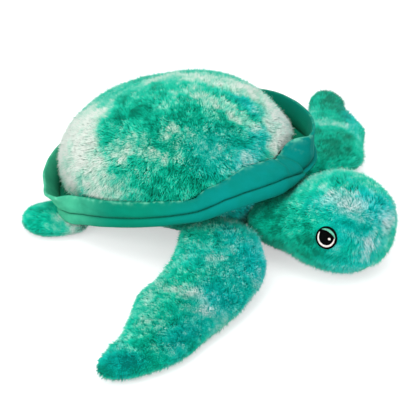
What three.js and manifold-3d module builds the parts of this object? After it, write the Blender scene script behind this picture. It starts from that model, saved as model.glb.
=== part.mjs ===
// A stuffed sea turtle, sewn from plush and suede-like cloth over soft filling.
// Millimetres. +X is the head end, +Y the turtle's left side, +Z up. The origin is the
// middle of the flat belly, on the surface that the toy rests on.
import * as THREE from 'three';
import { mergeVertices } from 'three/addons/utils/BufferGeometryUtils.js';
import Module from 'manifold-3d';

const wasm = await Module();
wasm.setup();

// Cloth and seams, shared by every sewn piece
const clothThickness = 2.5;
const seamGap = 0.3;
const fillingGap = 0.6;
const cutOverrun = 12;
const leastInsetShare = 0.3;

// Shell dome, measured from the slanting seam plane where it is sewn to its rim
const shellHalfLength = 115;
const shellHalfWidth = 98;
const shellRise = 84;
const shellSetback = 9;
const shellFullnessShare = 2.15;
const crownOpeningShare = 0.4;
const rimRearHeight = 11.4;
const shellPitchDegrees = 15;

// Standing collar round the dome, which leans on the dome along the turtle's right side
// and flares out, open at the top, round its front, left side and rear
const collarThickness = 4;
const collarLeaningHeight = 15.5;
const collarFlaredHeight = 21;
const collarFlareDegrees = 30;
const collarLeanStartDegrees = 222;
const collarLeanEndDegrees = 352;
const collarFlipDegrees = 18;
const frontTroughWidth = 15;
const collarSideRoom = 0.9;
const rimFullnessShare = 2.25;

// Lower band under the seam, turned in to the belly
const bandDrop = 9.5;
const bandBulge = 1.6;
const bandInnerDrop = 6;

// Belly, a shallow bowl with a flat middle, set in from the shell's edge
const bellyLengthSetIn = 15;
const bellyWidthSetIn = 24;
const bellyFlatHalfLength = 70;
const bellyFlatHalfWidth = 30;
const bellyFullnessShare = 2.9;
const bellyFrontCurveShare = 1.7;
const bellyRearCurveShare = 0.75;

// Head and neck, along its own axis from the neck's hinge to the snout
const neckStandOff = 6;
const neckHingeY = -3;
const neckHingeHeight = 34;
const headTurnDegrees = -10;
const headLength = 121;
const headHalfWidth = 49;
const headTopRise = 55;
const headBottomDrop = 33;
const neckRootRadius = 25;
const neckRootHalfWidth = 38;
const crownSeamRise = 33;
const snoutSeamDrop = 26;

// Embroidered eye
const eyeForwardShare = 0.645;
const eyeRiseShare = 0.4;
const eyeHalfWidth = 10.4;
const eyeHalfHeight = 11.2;
const eyeTurnDegrees = 12;
const threadThickness = 0.8;
const eyeWhiteRadius = 8.9;
const eyeWhiteWidth = 1.9;
const eyeWhiteDegrees = [0, 210];
const eyeLidRadius = 9.8;
const eyeLidWidth = 2.8;
const eyeLidDegrees = [230, 340];
const glintRadius = 1.7;

// Front flipper, from its hinge to its tip
const frontHingeSetIn = 26;
const frontTuck = 14;
const frontHingeHeight = 25;
const frontYawDegrees = 14;
const frontLength = 193;
const frontHalfChord = 45;
const frontHalfThickness = 16;
const frontRootRadius = 14;
const frontRootHalfChord = 32;
const frontSweep = 60;
const frontDroop = 13;

// Rear flipper, from its hinge to its tip
const rearHingeSetIn = 20.5;
const rearTuck = 23.5;
const rearHingeHeight = 8.6;
const rearYawDegrees = -25;
const rearLength = 65;
const rearHalfChord = 28;
const rearHalfThickness = 8.6;
const rearRootRadius = 7.5;
const rearRootHalfChord = 21;
const rearSweep = 4;
const rearLift = 0.5;

// Counts of facets
const roundSteps = 40;
const domeSteps = 9;
const bellySteps = 5;
const headSteps = 28;
const flipperSteps = 16;
const eyeSteps = 14;
const socketSteps = 10;
const seamSteps = 12;

const radians = THREE.MathUtils.degToRad;
const lerp = THREE.MathUtils.lerp;
const smoothstep = THREE.MathUtils.smoothstep;
const shellPitch = radians(shellPitchDegrees);
const plushRoughnessShare = 0.95;
const threadRoughnessShare = 0.6;

const bellyHalfLength = shellHalfLength - bellyLengthSetIn;
const bellyHalfWidth = shellHalfWidth - bellyWidthSetIn;

// The seam plane crosses the toy's middle at this height, for the rim to clear the ground
const seamPlaneRun = shellHalfLength + shellSetback + seamGap + collarThickness;
const seamPlaneHeight = rimRearHeight + bandDrop * Math.cos(shellPitch) + seamPlaneRun * Math.sin(shellPitch);

const colours = {
  shellPlush: '#3fb99a',
  collarSuede: '#0f9f86',
  bandSuede: '#0b8f80',
  limbPlush: '#33b5a4',
  headPlush: '#4dbfae',
  filling: '#f2f0ea',
  black: '#15181a',
  white: '#f4f6f2',
  lid: '#a8dccb',
};

function pieceMaterial(colour, roughness = plushRoughnessShare) {
  return new THREE.MeshStandardMaterial({ color: colour, roughness, metalness: 0 });
}

function addPiece(group, name, geometry, material) {
  const mesh = new THREE.Mesh(geometry, material);
  mesh.name = name;
  group.add(mesh);
}

// A closed body through rings of the same number of points. The rings turn anticlockwise
// seen from the last one. A looped body joins its last ring to its first.
function loftRings(rings, looped = false) {
  const count = rings[0].length;
  const positions = [];
  const face = (a, b, c) => positions.push(...a.toArray(), ...b.toArray(), ...c.toArray());
  const pairs = looped ? rings.length : rings.length - 1;
  for (let i = 0; i < pairs; i += 1) {
    const lower = rings[i];
    const upper = rings[(i + 1) % rings.length];
    for (let j = 0; j < count; j += 1) {
      const k = (j + 1) % count;
      face(lower[j], lower[k], upper[k]);
      face(lower[j], upper[k], upper[j]);
    }
  }
  if (!looped) {
    closeEnd(rings[0], (a, b, c) => face(b, a, c));
    closeEnd(rings[rings.length - 1], face);
  }
  const geometry = new THREE.BufferGeometry();
  geometry.setAttribute('position', new THREE.Float32BufferAttribute(positions, 3));
  return mergeVertices(geometry);
}

function closeEnd(ring, face) {
  const middle = new THREE.Vector3();
  ring.forEach((point) => middle.addScaledVector(point, 1 / ring.length));
  ring.forEach((point, j) => face(point, ring[(j + 1) % ring.length], middle));
}

function toSolid(geometry) {
  const bare = geometry.clone();
  bare.deleteAttribute('normal');
  bare.deleteAttribute('uv');
  const merged = mergeVertices(bare);
  const vertProperties = new Float32Array(merged.attributes.position.array);
  const triVerts = new Uint32Array(merged.index.array);
  return new wasm.Manifold(new wasm.Mesh({ numProp: 3, vertProperties, triVerts }));
}

function toGeometry(solid) {
  const mesh = solid.getMesh();
  const geometry = new THREE.BufferGeometry();
  geometry.setAttribute('position', new THREE.BufferAttribute(mesh.vertProperties, 3));
  geometry.setIndex(new THREE.BufferAttribute(mesh.triVerts, 1));
  return geometry;
}

function roundPower(value, share) {
  return Math.sign(value) * Math.abs(value) ** (2 / share);
}

// Points of an oval outline, anticlockwise from +X
function ovalPoint(halfLength, halfWidth, fullnessShare, angle) {
  const x = halfLength * roundPower(Math.cos(angle), fullnessShare);
  const y = halfWidth * roundPower(Math.sin(angle), fullnessShare);
  return new THREE.Vector2(x, y);
}

function turnAngles(steps) {
  return Array.from({ length: steps }, (_, j) => (j / steps) * Math.PI * 2);
}

// Places a point of the slanting seam plane, with its height over it, in the toy's frame
function onSeamPlane(x, y, height) {
  const along = x * Math.cos(shellPitch) - height * Math.sin(shellPitch);
  const up = x * Math.sin(shellPitch) + height * Math.cos(shellPitch);
  return new THREE.Vector3(along, y, seamPlaneHeight + up);
}

// Rings of the dome from its base to near its top, drawn in by an inset
function domeRings(inset) {
  const rings = [];
  for (let i = 0; i < domeSteps; i += 1) {
    const climb = (i / (domeSteps - crownOpeningShare)) * (Math.PI / 2);
    const spread = roundPower(Math.cos(climb), shellFullnessShare);
    const height = roundPower(Math.sin(climb), shellFullnessShare) * (shellRise - inset);
    rings.push(turnAngles(roundSteps).map((angle) => {
      const edge = ovalPoint(shellHalfLength - inset, shellHalfWidth - inset, shellFullnessShare, angle);
      return onSeamPlane(edge.x * spread - shellSetback, edge.y * spread, height);
    }));
  }
  return rings;
}

// Rings of the belly from the seam plane down to its flat middle, drawn in by an inset
function bellyRings(inset, topHeight) {
  const rings = [];
  for (let i = 0; i <= bellySteps; i += 1) {
    const fall = (i / bellySteps) * (Math.PI / 2);
    const drop = Math.sin(fall);
    rings.push(turnAngles(roundSteps).map((angle) => {
      const curveShare = lerp(bellyRearCurveShare, bellyFrontCurveShare, (1 + Math.cos(angle)) / 2);
      const spread = Math.cos(fall) ** curveShare;
      const rim = ovalPoint(bellyHalfLength - inset, bellyHalfWidth - inset, bellyFullnessShare, angle);
      const flat = ovalPoint(bellyFlatHalfLength - inset, bellyFlatHalfWidth - inset, bellyFullnessShare, angle);
      const top = onSeamPlane(rim.x, rim.y, topHeight);
      const low = new THREE.Vector3(flat.x, flat.y, inset);
      const point = low.clone().lerp(top, spread);
      point.z = lerp(top.z, low.z, drop);
      return point;
    }));
  }
  return rings;
}

function shellCover() {
  const outer = domeRings(0);
  const inner = domeRings(clothThickness).reverse();
  return loftRings([...inner, ...outer]);
}

function bellyCover() {
  const outer = bellyRings(0, -seamGap).reverse();
  const inner = bellyRings(clothThickness, -seamGap);
  return loftRings([...outer, ...inner]);
}

function bodyStuffing() {
  const inset = clothThickness + fillingGap;
  const belly = bellyRings(inset, -seamGap).reverse();
  const ledge = bellyRings(inset, 0)[0];
  return loftRings([...belly, ledge, ...domeRings(inset)]);
}

// How far the collar stands out at an angle round the shell: 0 leans in, 1 flares out
function flareShare(degrees) {
  const opens = smoothstep(degrees, collarLeanEndDegrees, collarLeanEndDegrees + collarFlipDegrees);
  const closes = smoothstep(degrees, collarLeanStartDegrees - collarFlipDegrees, collarLeanStartDegrees);
  return Math.min(1, 1 - closes + opens);
}

// The rim's outline in the seam plane. It hugs the dome at its sides and rear, and leaves a
// trough at its front
function collarOutline(angle, outset = 0) {
  const front = shellHalfLength - shellSetback + frontTroughWidth + collarThickness;
  const rear = shellHalfLength + shellSetback + seamGap + collarThickness;
  const halfWidth = shellHalfWidth + collarSideRoom + collarThickness + outset;
  const edge = ovalPoint((front + rear) / 2 + outset, halfWidth, rimFullnessShare, angle);
  edge.x += (front - rear) / 2;
  return edge;
}

// The direction straight out of the collar's outline at an angle
function collarNormal(angle) {
  const step = Math.PI / roundSteps;
  const ahead = collarOutline(angle + step);
  const behind = collarOutline(angle - step);
  const along = ahead.sub(behind).normalize();
  return new THREE.Vector2(along.y, -along.x);
}

// The folded edge of the collar is one closed section swept round the shell
function shellCollar() {
  const domeInsetShare = 1 - (1 - (collarLeaningHeight / shellRise) ** shellFullnessShare) ** (1 / shellFullnessShare);
  const leanIn = -Math.atan2(domeInsetShare * shellHalfWidth, collarLeaningHeight);
  const sections = turnAngles(roundSteps).map((angle) => {
    const flare = flareShare(THREE.MathUtils.radToDeg(angle));
    const lean = lerp(leanIn, radians(collarFlareDegrees), flare);
    const height = lerp(collarLeaningHeight, collarFlaredHeight, flare);
    return collarSection(angle, lean, height);
  });
  const dome = loftRings(domeRings(-seamGap));
  return toGeometry(toSolid(loftRings(sections, true)).subtract(toSolid(dome)));
}

function collarSection(angle, lean, height) {
  const base = collarOutline(angle);
  const normal = collarNormal(angle);
  const rows = [
    [0, -collarThickness],
    [height / 2, -collarThickness],
    [height - collarThickness / 2, -collarThickness],
    [height, -collarThickness / 2],
    [height - collarThickness / 2, 0],
    [height / 2, 0],
    [0, 0],
  ];
  return rows.map(([up, out]) => {
    const away = up * Math.sin(lean) + out * Math.cos(lean);
    const rise = up * Math.cos(lean) - out * Math.sin(lean);
    const x = base.x + normal.x * away;
    const y = base.y + normal.y * away;
    return onSeamPlane(x, y, Math.max(rise, 0) + seamGap);
  });
}

function lowerBand() {
  const sections = turnAngles(roundSteps).map((angle) => {
    const outer = collarOutline(angle);
    const bulge = collarOutline(angle, bandBulge);
    const foot = collarOutline(angle, -bandInnerDrop / 2);
    const halfLength = bellyHalfLength + seamGap;
    const halfWidth = bellyHalfWidth + seamGap;
    const inner = ovalPoint(halfLength, halfWidth, bellyFullnessShare, angle);
    const innerTop = onSeamPlane(inner.x, inner.y, -seamGap);
    const innerFoot = innerTop.clone();
    innerFoot.z -= bandInnerDrop;
    return [
      onSeamPlane(outer.x, outer.y, -seamGap),
      onSeamPlane(bulge.x, bulge.y, -bandDrop / 2),
      onSeamPlane(foot.x, foot.y, -bandDrop),
      innerFoot,
      innerTop,
    ];
  });
  return loftRings(sections, true);
}

// Shares of the front flipper: way along it, half chord, half thickness, sweep, droop
const frontShares = [
  [0.08, 0.84, 0.95, 0.0, 0.0],
  [0.18, 0.96, 1.0, 0.01, 0.1],
  [0.32, 1.02, 1.0, 0.04, 0.32],
  [0.47, 1.0, 0.96, 0.16, 0.56],
  [0.62, 0.92, 0.88, 0.34, 0.78],
  [0.76, 0.79, 0.76, 0.56, 0.93],
  [0.88, 0.62, 0.62, 0.78, 1.0],
  [0.95, 0.44, 0.48, 0.92, 1.0],
  [0.99, 0.24, 0.26, 0.99, 1.0],
  [1.0, 0.08, 0.08, 1.0, 1.0],
];

// The same shares of the shorter, rounder rear flipper
const rearShares = [
  [0.18, 0.84, 0.8, 0.1, 0.1],
  [0.36, 0.95, 0.84, 0.3, 0.3],
  [0.54, 1.0, 0.92, 0.5, 0.6],
  [0.72, 0.92, 1.0, 0.7, 0.9],
  [0.87, 0.69, 0.76, 0.85, 1.0],
  [0.96, 0.38, 0.4, 0.95, 1.0],
  [1.0, 0.1, 0.12, 1.0, 1.0],
];

// Ways in from a hinge, as shares of the root's radius. The root is half an egg, round about
// its hinge, so that it turns in its socket
const noseShares = [0.98, 0.84, 0.5, 0.0];

// Stations of a limb from the nose to the tip: place, half chord, half thickness, sweep, droop
function limbStations(limb) {
  const nose = noseShares.map((inShare) => ({
    along: -limb.rootRadius * inShare,
    chord: limb.rootHalfChord * Math.sqrt(1 - inShare ** 2),
    thick: limb.rootRadius * Math.sqrt(1 - inShare ** 2),
    sweep: 0,
    rise: 0,
  }));
  const blade = limb.shares.map(([wayShare, chordShare, thickShare, sweepShare, droopShare]) => ({
    along: limb.length * wayShare,
    chord: limb.halfChord * chordShare,
    thick: limb.halfThickness * thickShare,
    sweep: limb.sweep * sweepShare,
    rise: -limb.droop * droopShare,
  }));
  return [...nose, ...blade];
}

// One arc of a limb's section, from one edge over the top or the bottom to the other
function limbArc(station, inset, upper) {
  const chord = Math.max(station.chord - inset, station.chord * leastInsetShare);
  const thick = Math.max(station.thick - inset, station.thick * leastInsetShare);
  const side = upper ? 1 : -1;
  const steps = flipperSteps / 2;
  return Array.from({ length: steps + 1 }, (_, j) => {
    const angle = (j / steps) * Math.PI;
    const across = chord * Math.cos(angle) + station.sweep;
    const height = thick * Math.sin(angle) + seamGap / 2;
    return new THREE.Vector3(station.along, across, station.rise + side * height);
  });
}

// The upper or lower cloth panel of a limb, a curved sheet between its outer and inner arcs
function limbPanel(limb, upper) {
  const rings = limbStations(limb).map((station) => {
    const outer = limbArc(station, 0, upper);
    const inner = limbArc(station, clothThickness, upper).reverse();
    return [...outer, ...inner];
  });
  return upper ? loftRings(rings) : loftRings(rings.map((ring) => ring.reverse()));
}

// The filling leaves out the ends of the limb, where its cloth closes
function limbFilling(limb) {
  const inset = clothThickness + fillingGap;
  const full = limbStations(limb).filter((station) => station.thick > 2 * inset);
  const rings = full.map((station) => turnAngles(flipperSteps).map((angle) => {
    const across = (station.chord - inset) * Math.cos(angle) + station.sweep;
    const height = (station.thick - inset) * Math.sin(angle);
    return new THREE.Vector3(station.along, across, station.rise + height);
  }));
  return loftRings(rings);
}

const frontLimb = {
  length: frontLength,
  halfChord: frontHalfChord,
  halfThickness: frontHalfThickness,
  rootRadius: frontRootRadius,
  rootHalfChord: frontRootHalfChord,
  sweep: frontSweep,
  droop: frontDroop,
  shares: frontShares,
  place: [bellyHalfLength - frontHingeSetIn, bellyHalfWidth - frontTuck, frontHingeHeight],
  yawDegrees: frontYawDegrees,
};

const rearLimb = {
  length: rearLength,
  halfChord: rearHalfChord,
  halfThickness: rearHalfThickness,
  rootRadius: rearRootRadius,
  rootHalfChord: rearRootHalfChord,
  sweep: rearSweep,
  droop: -rearLift,
  shares: rearShares,
  place: [rearHingeSetIn - bellyHalfLength, bellyHalfWidth - rearTuck, rearHingeHeight],
  yawDegrees: rearYawDegrees,
};

// Mirrors a geometry across the toy's middle plane and turns its faces out again
function mirrored(geometry) {
  const copy = geometry.clone();
  copy.scale(1, -1, 1);
  const index = copy.index.array;
  for (let i = 0; i < index.length; i += 3) {
    [index[i], index[i + 1]] = [index[i + 1], index[i]];
  }
  return copy;
}

// Turns a limb drawn along +X out to the toy's left side, at its hinge
function leftLimbMatrix(limb) {
  const turn = new THREE.Matrix4().makeRotationZ(radians(90 - limb.yawDegrees));
  return new THREE.Matrix4().makeTranslation(...limb.place).multiply(turn);
}

function addLimb(group, name, limb) {
  const shapes = {
    top_panel: limbPanel(limb, true),
    bottom_panel: limbPanel(limb, false),
    stuffing: limbFilling(limb),
  };
  for (const [piece, shape] of Object.entries(shapes)) {
    const colour = piece === 'stuffing' ? colours.filling : colours.limbPlush;
    const left = shape.clone().applyMatrix4(leftLimbMatrix(limb));
    addPiece(group, `${name}_left_${piece}`, left, pieceMaterial(colour));
    addPiece(group, `${name}_right_${piece}`, mirrored(left), pieceMaterial(colour));
  }
}

// The clearance round an egg-shaped root, revolved about its hinge. Its facets stand clear of
// the root at their middles
function rootSocket(radius, halfLength) {
  const flatShare = Math.cos(Math.PI / (2 * socketSteps));
  const widest = (radius + seamGap) / flatShare ** 2;
  const longest = (halfLength + seamGap) / flatShare;
  const profile = Array.from({ length: socketSteps + 1 }, (_, j) => {
    const angle = lerp(-Math.PI / 2, Math.PI / 2, j / socketSteps);
    return new THREE.Vector2(widest * Math.cos(angle), longest * Math.sin(angle));
  });
  profile[0].x = 0;
  profile[socketSteps].x = 0;
  return new THREE.LatheGeometry(profile, 2 * socketSteps);
}

function limbSockets(limb) {
  const left = rootSocket(limb.rootRadius, limb.rootHalfChord).applyMatrix4(leftLimbMatrix(limb));
  return [toSolid(left), toSolid(mirrored(left))];
}

function headMatrix() {
  const turn = new THREE.Matrix4().makeRotationZ(radians(headTurnDegrees));
  const hinge = [bellyHalfLength + neckStandOff, neckHingeY, neckHingeHeight];
  return new THREE.Matrix4().makeTranslation(...hinge).multiply(turn);
}

function neckSocket() {
  return toSolid(rootSocket(neckRootRadius, neckRootHalfWidth).applyMatrix4(headMatrix()));
}

// Shares of the head: way along it, half width, rise of its top, drop of its bottom
const headShares = [
  [0.18, 0.9, 0.58, 0.9],
  [0.28, 0.96, 0.77, 0.98],
  [0.39, 0.99, 0.92, 1.0],
  [0.5, 1.0, 0.99, 1.0],
  [0.62, 0.98, 1.0, 0.98],
  [0.73, 0.9, 0.94, 0.93],
  [0.84, 0.77, 0.81, 0.83],
  [0.91, 0.59, 0.65, 0.67],
  [0.96, 0.41, 0.48, 0.46],
  [0.99, 0.22, 0.31, 0.21],
  [1.0, 0.08, 0.18, 0.02],
];

// Stations of the head from the rounded neck root to the snout
function headStations() {
  const nose = noseShares.map((inShare) => ({
    along: -neckRootRadius * inShare,
    wide: neckRootHalfWidth * Math.sqrt(1 - inShare ** 2),
    high: neckRootRadius * Math.sqrt(1 - inShare ** 2),
    middle: 0,
  }));
  const skull = headShares.map(([wayShare, widthShare, topShare, bottomShare]) => {
    const top = headTopRise * topShare;
    const bottom = -headBottomDrop * bottomShare;
    return {
      along: headLength * wayShare,
      wide: headHalfWidth * widthShare,
      high: (top - bottom) / 2,
      middle: (top + bottom) / 2,
    };
  });
  return [...nose, ...skull];
}

// The head's whole form, moved out by an offset
function headSolid(offset) {
  const rings = headStations().map((station) => turnAngles(headSteps).map((angle) => {
    const wide = Math.max(station.wide + offset, station.wide * leastInsetShare);
    const high = Math.max(station.high + offset, station.high * leastInsetShare);
    return new THREE.Vector3(station.along, wide * Math.cos(angle), station.middle + high * Math.sin(angle));
  }));
  return loftRings(rings);
}

// The seam between the gusset and a side, seen from the side: level along the crown, then
// down past the eye and under the snout
const seamShares = [
  [-0.4, 0.35],
  [0.1, 0.45],
  [0.35, 0.86],
  [0.55, 0.86],
  [0.7, 0.5],
  [0.82, -0.3],
  [0.9, -1.1],
];

// The space over or under the gusset's seam, as a block across the head
function seamBlock(over) {
  const points = seamShares.map(([wayShare, riseShare]) => {
    const rise = riseShare > 0 ? crownSeamRise * riseShare : snoutSeamDrop * riseShare;
    return new THREE.Vector2(headLength * wayShare, rise);
  });
  const shift = over ? seamGap / 2 : -seamGap / 2;
  const curve = new THREE.SplineCurve(points);
  const seam = curve.getPoints(seamSteps * 2).map((point, i) => {
    const along = curve.getTangent(i / (seamSteps * 2));
    return new THREE.Vector2(point.x - along.y * shift, point.y + along.x * shift);
  });
  const reach = headLength + headTopRise;
  const far = over
    ? [new THREE.Vector2(reach, -reach), new THREE.Vector2(reach, reach), new THREE.Vector2(-reach, reach)]
    : [new THREE.Vector2(seam[seam.length - 1].x, -reach), new THREE.Vector2(-reach, -reach)];
  const close = new THREE.Vector2(-reach, seam[0].y);
  const options = { depth: 2 * reach, bevelEnabled: false };
  const block = new THREE.ExtrudeGeometry(new THREE.Shape([...seam, ...far, close]), options);
  return toSolid(block.rotateX(Math.PI / 2).translate(0, reach, 0));
}

// Half the space of the head on its left side, short of its middle by half a seam
function leftBlock() {
  const reach = headLength + headTopRise;
  const block = new THREE.BoxGeometry(2 * reach, reach, 2 * reach);
  return toSolid(block.translate(0, (reach + seamGap) / 2, 0));
}

function addHead(group) {
  const cloth = toSolid(headSolid(0)).subtract(toSolid(headSolid(-clothThickness)));
  const gusset = toGeometry(cloth.intersect(seamBlock(true)));
  const left = toGeometry(cloth.intersect(seamBlock(false)).intersect(leftBlock()));
  const pieces = {
    head_gusset: [gusset, colours.headPlush],
    head_side_left: [left, colours.headPlush],
    head_side_right: [mirrored(left), colours.headPlush],
    head_stuffing: [headSolid(-clothThickness - fillingGap), colours.filling],
  };
  for (const [name, [shape, colour]] of Object.entries(pieces)) {
    addPiece(group, name, shape.clone().applyMatrix4(headMatrix()), pieceMaterial(colour));
  }
}

function ellipseShape(halfWidth, halfHeight, x = 0, y = 0) {
  const shape = new THREE.Shape();
  shape.absellipse(x, y, halfWidth, halfHeight, 0, Math.PI * 2);
  return shape;
}

// A crescent between two arcs that share their ends
function crescentShape(radius, width, [startDegrees, endDegrees]) {
  const points = [];
  const start = radians(startDegrees);
  const end = radians(endDegrees);
  for (let j = 0; j <= eyeSteps; j += 1) {
    const angle = lerp(start, end, j / eyeSteps);
    points.push(new THREE.Vector2(radius * Math.cos(angle), radius * Math.sin(angle)));
  }
  for (let j = eyeSteps - 1; j > 0; j -= 1) {
    const angle = lerp(start, end, j / eyeSteps);
    const thin = radius - width * Math.sqrt(Math.sin((j / eyeSteps) * Math.PI));
    points.push(new THREE.Vector2(thin * Math.cos(angle), thin * Math.sin(angle)));
  }
  return new THREE.Shape(points);
}

// Turns a flat shape's own plane to stand on the left side of the head at the eye
function eyeMatrix() {
  const forward = headLength * eyeForwardShare;
  const rise = headTopRise * eyeRiseShare;
  const place = new THREE.Matrix4().makeTranslation(forward, headHalfWidth, rise);
  const tilt = new THREE.Matrix4().makeRotationZ(-radians(eyeTurnDegrees));
  const stand = new THREE.Matrix4().makeRotationX(-Math.PI / 2 + radians(eyeTurnDegrees));
  return place.multiply(tilt).multiply(stand);
}

function addEyes(group) {
  const firstLayer = toSolid(headSolid(seamGap + threadThickness)).subtract(toSolid(headSolid(seamGap)));
  const low = 2 * seamGap + threadThickness;
  const secondLayer = toSolid(headSolid(low + threadThickness / 2)).subtract(toSolid(headSolid(low)));
  const fields = {
    eye_black: [firstLayer, ellipseShape(eyeHalfWidth, eyeHalfHeight), colours.black],
    eye_white: [secondLayer, crescentShape(eyeWhiteRadius, eyeWhiteWidth, eyeWhiteDegrees), colours.white],
    eye_lid: [secondLayer, crescentShape(eyeLidRadius, eyeLidWidth, eyeLidDegrees), colours.lid],
    eye_glint: [secondLayer, ellipseShape(glintRadius, glintRadius, glintRadius, glintRadius), colours.white],
  };
  for (const [name, [layer, shape, colour]] of Object.entries(fields)) {
    const options = { depth: 2 * cutOverrun, bevelEnabled: false, curveSegments: eyeSteps };
    const prism = new THREE.ExtrudeGeometry(shape, options).translate(0, 0, -cutOverrun);
    const left = toGeometry(layer.intersect(toSolid(prism.applyMatrix4(eyeMatrix()))));
    const placed = (geometry) => geometry.clone().applyMatrix4(headMatrix());
    addPiece(group, `${name}_left`, placed(left), pieceMaterial(colour, threadRoughnessShare));
    addPiece(group, `${name}_right`, placed(mirrored(left)), pieceMaterial(colour, threadRoughnessShare));
  }
}

function addBody(group) {
  const sockets = [...limbSockets(frontLimb), ...limbSockets(rearLimb), neckSocket()];
  const cutBySockets = (geometry) => {
    let solid = toSolid(geometry);
    sockets.forEach((socket) => {
      solid = solid.subtract(socket);
    });
    return toGeometry(solid);
  };
  addPiece(group, 'shell_cover', shellCover(), pieceMaterial(colours.shellPlush));
  addPiece(group, 'shell_collar', shellCollar(), pieceMaterial(colours.collarSuede));
  addPiece(group, 'rim_lower_band', lowerBand(), pieceMaterial(colours.bandSuede));
  addPiece(group, 'belly_cover', cutBySockets(bellyCover()), pieceMaterial(colours.limbPlush));
  addPiece(group, 'body_stuffing', cutBySockets(bodyStuffing()), pieceMaterial(colours.filling));
}

const turtle = new THREE.Group();
addBody(turtle);
addHead(turtle);
addEyes(turtle);
addLimb(turtle, 'front_flipper', frontLimb);
addLimb(turtle, 'rear_flipper', rearLimb);

export default turtle;
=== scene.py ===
"""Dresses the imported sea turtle: stuffed plush forms with a real pile, a suede rim and stitched eyes.

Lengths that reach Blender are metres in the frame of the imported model. Sizes in classes and tables
are in millimetres, and angles round the rim in degrees from the front towards the toy's left.
"""

import logging
import math
from dataclasses import dataclass, field
from enum import Enum
from typing import Any, Callable, Sequence

import bmesh
import bpy
import numpy as np
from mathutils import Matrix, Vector, noise
from mathutils.bvhtree import BVHTree


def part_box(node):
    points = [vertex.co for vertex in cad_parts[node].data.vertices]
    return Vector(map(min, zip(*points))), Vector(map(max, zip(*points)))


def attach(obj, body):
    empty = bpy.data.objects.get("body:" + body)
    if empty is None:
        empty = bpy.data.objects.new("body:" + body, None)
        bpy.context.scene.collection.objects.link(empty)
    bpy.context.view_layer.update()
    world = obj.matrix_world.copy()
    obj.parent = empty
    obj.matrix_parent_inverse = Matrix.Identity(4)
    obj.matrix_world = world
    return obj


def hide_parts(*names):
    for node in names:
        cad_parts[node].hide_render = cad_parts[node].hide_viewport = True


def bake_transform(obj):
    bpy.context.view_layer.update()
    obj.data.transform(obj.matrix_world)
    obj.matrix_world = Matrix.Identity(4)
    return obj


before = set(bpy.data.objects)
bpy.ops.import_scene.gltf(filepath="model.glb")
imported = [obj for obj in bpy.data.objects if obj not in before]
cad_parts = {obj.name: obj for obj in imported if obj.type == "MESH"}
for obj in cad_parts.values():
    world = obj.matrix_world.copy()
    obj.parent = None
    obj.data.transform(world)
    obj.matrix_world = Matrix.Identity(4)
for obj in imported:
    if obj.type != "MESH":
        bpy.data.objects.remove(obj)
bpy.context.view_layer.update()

LOG = logging.getLogger("sea_turtle")
MM = 0.001
Colour = tuple[float, float, float]
Place = tuple[float, float, float]
Socket = bpy.types.NodeSocket


def linear(red: int, green: int, blue: int) -> Colour:
    """Turns a screen colour of 0 to 255 into the linear colour that a shader takes."""
    straight, top, colour = 10, 255, (red, green, blue)
    return tuple(((c / top + 0.055) / 1.055) ** 2.4 if c > straight else c / top / 12.92 for c in colour)


def smoothstep(value: np.ndarray, low: float, high: float) -> np.ndarray:
    """Rises smoothly from 0 at low to 1 at high."""
    share = np.clip((value - low) / (high - low), 0, 1)
    return share * share * (3 - 2 * share)


def rising(value: float, low: float, high: float) -> float:
    """The same for one number."""
    return float(smoothstep(np.array(value), low, high))


def hill(value: Any, centre: float, spread: float) -> Any:
    """A soft hill, 1 high at its centre, for a number or an array."""
    return np.exp(-(((value - centre) / spread) ** 2))


def limited(value: float) -> float:
    """Keeps a number between 0 and 1."""
    return min(1.0, max(0.0, value))


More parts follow.
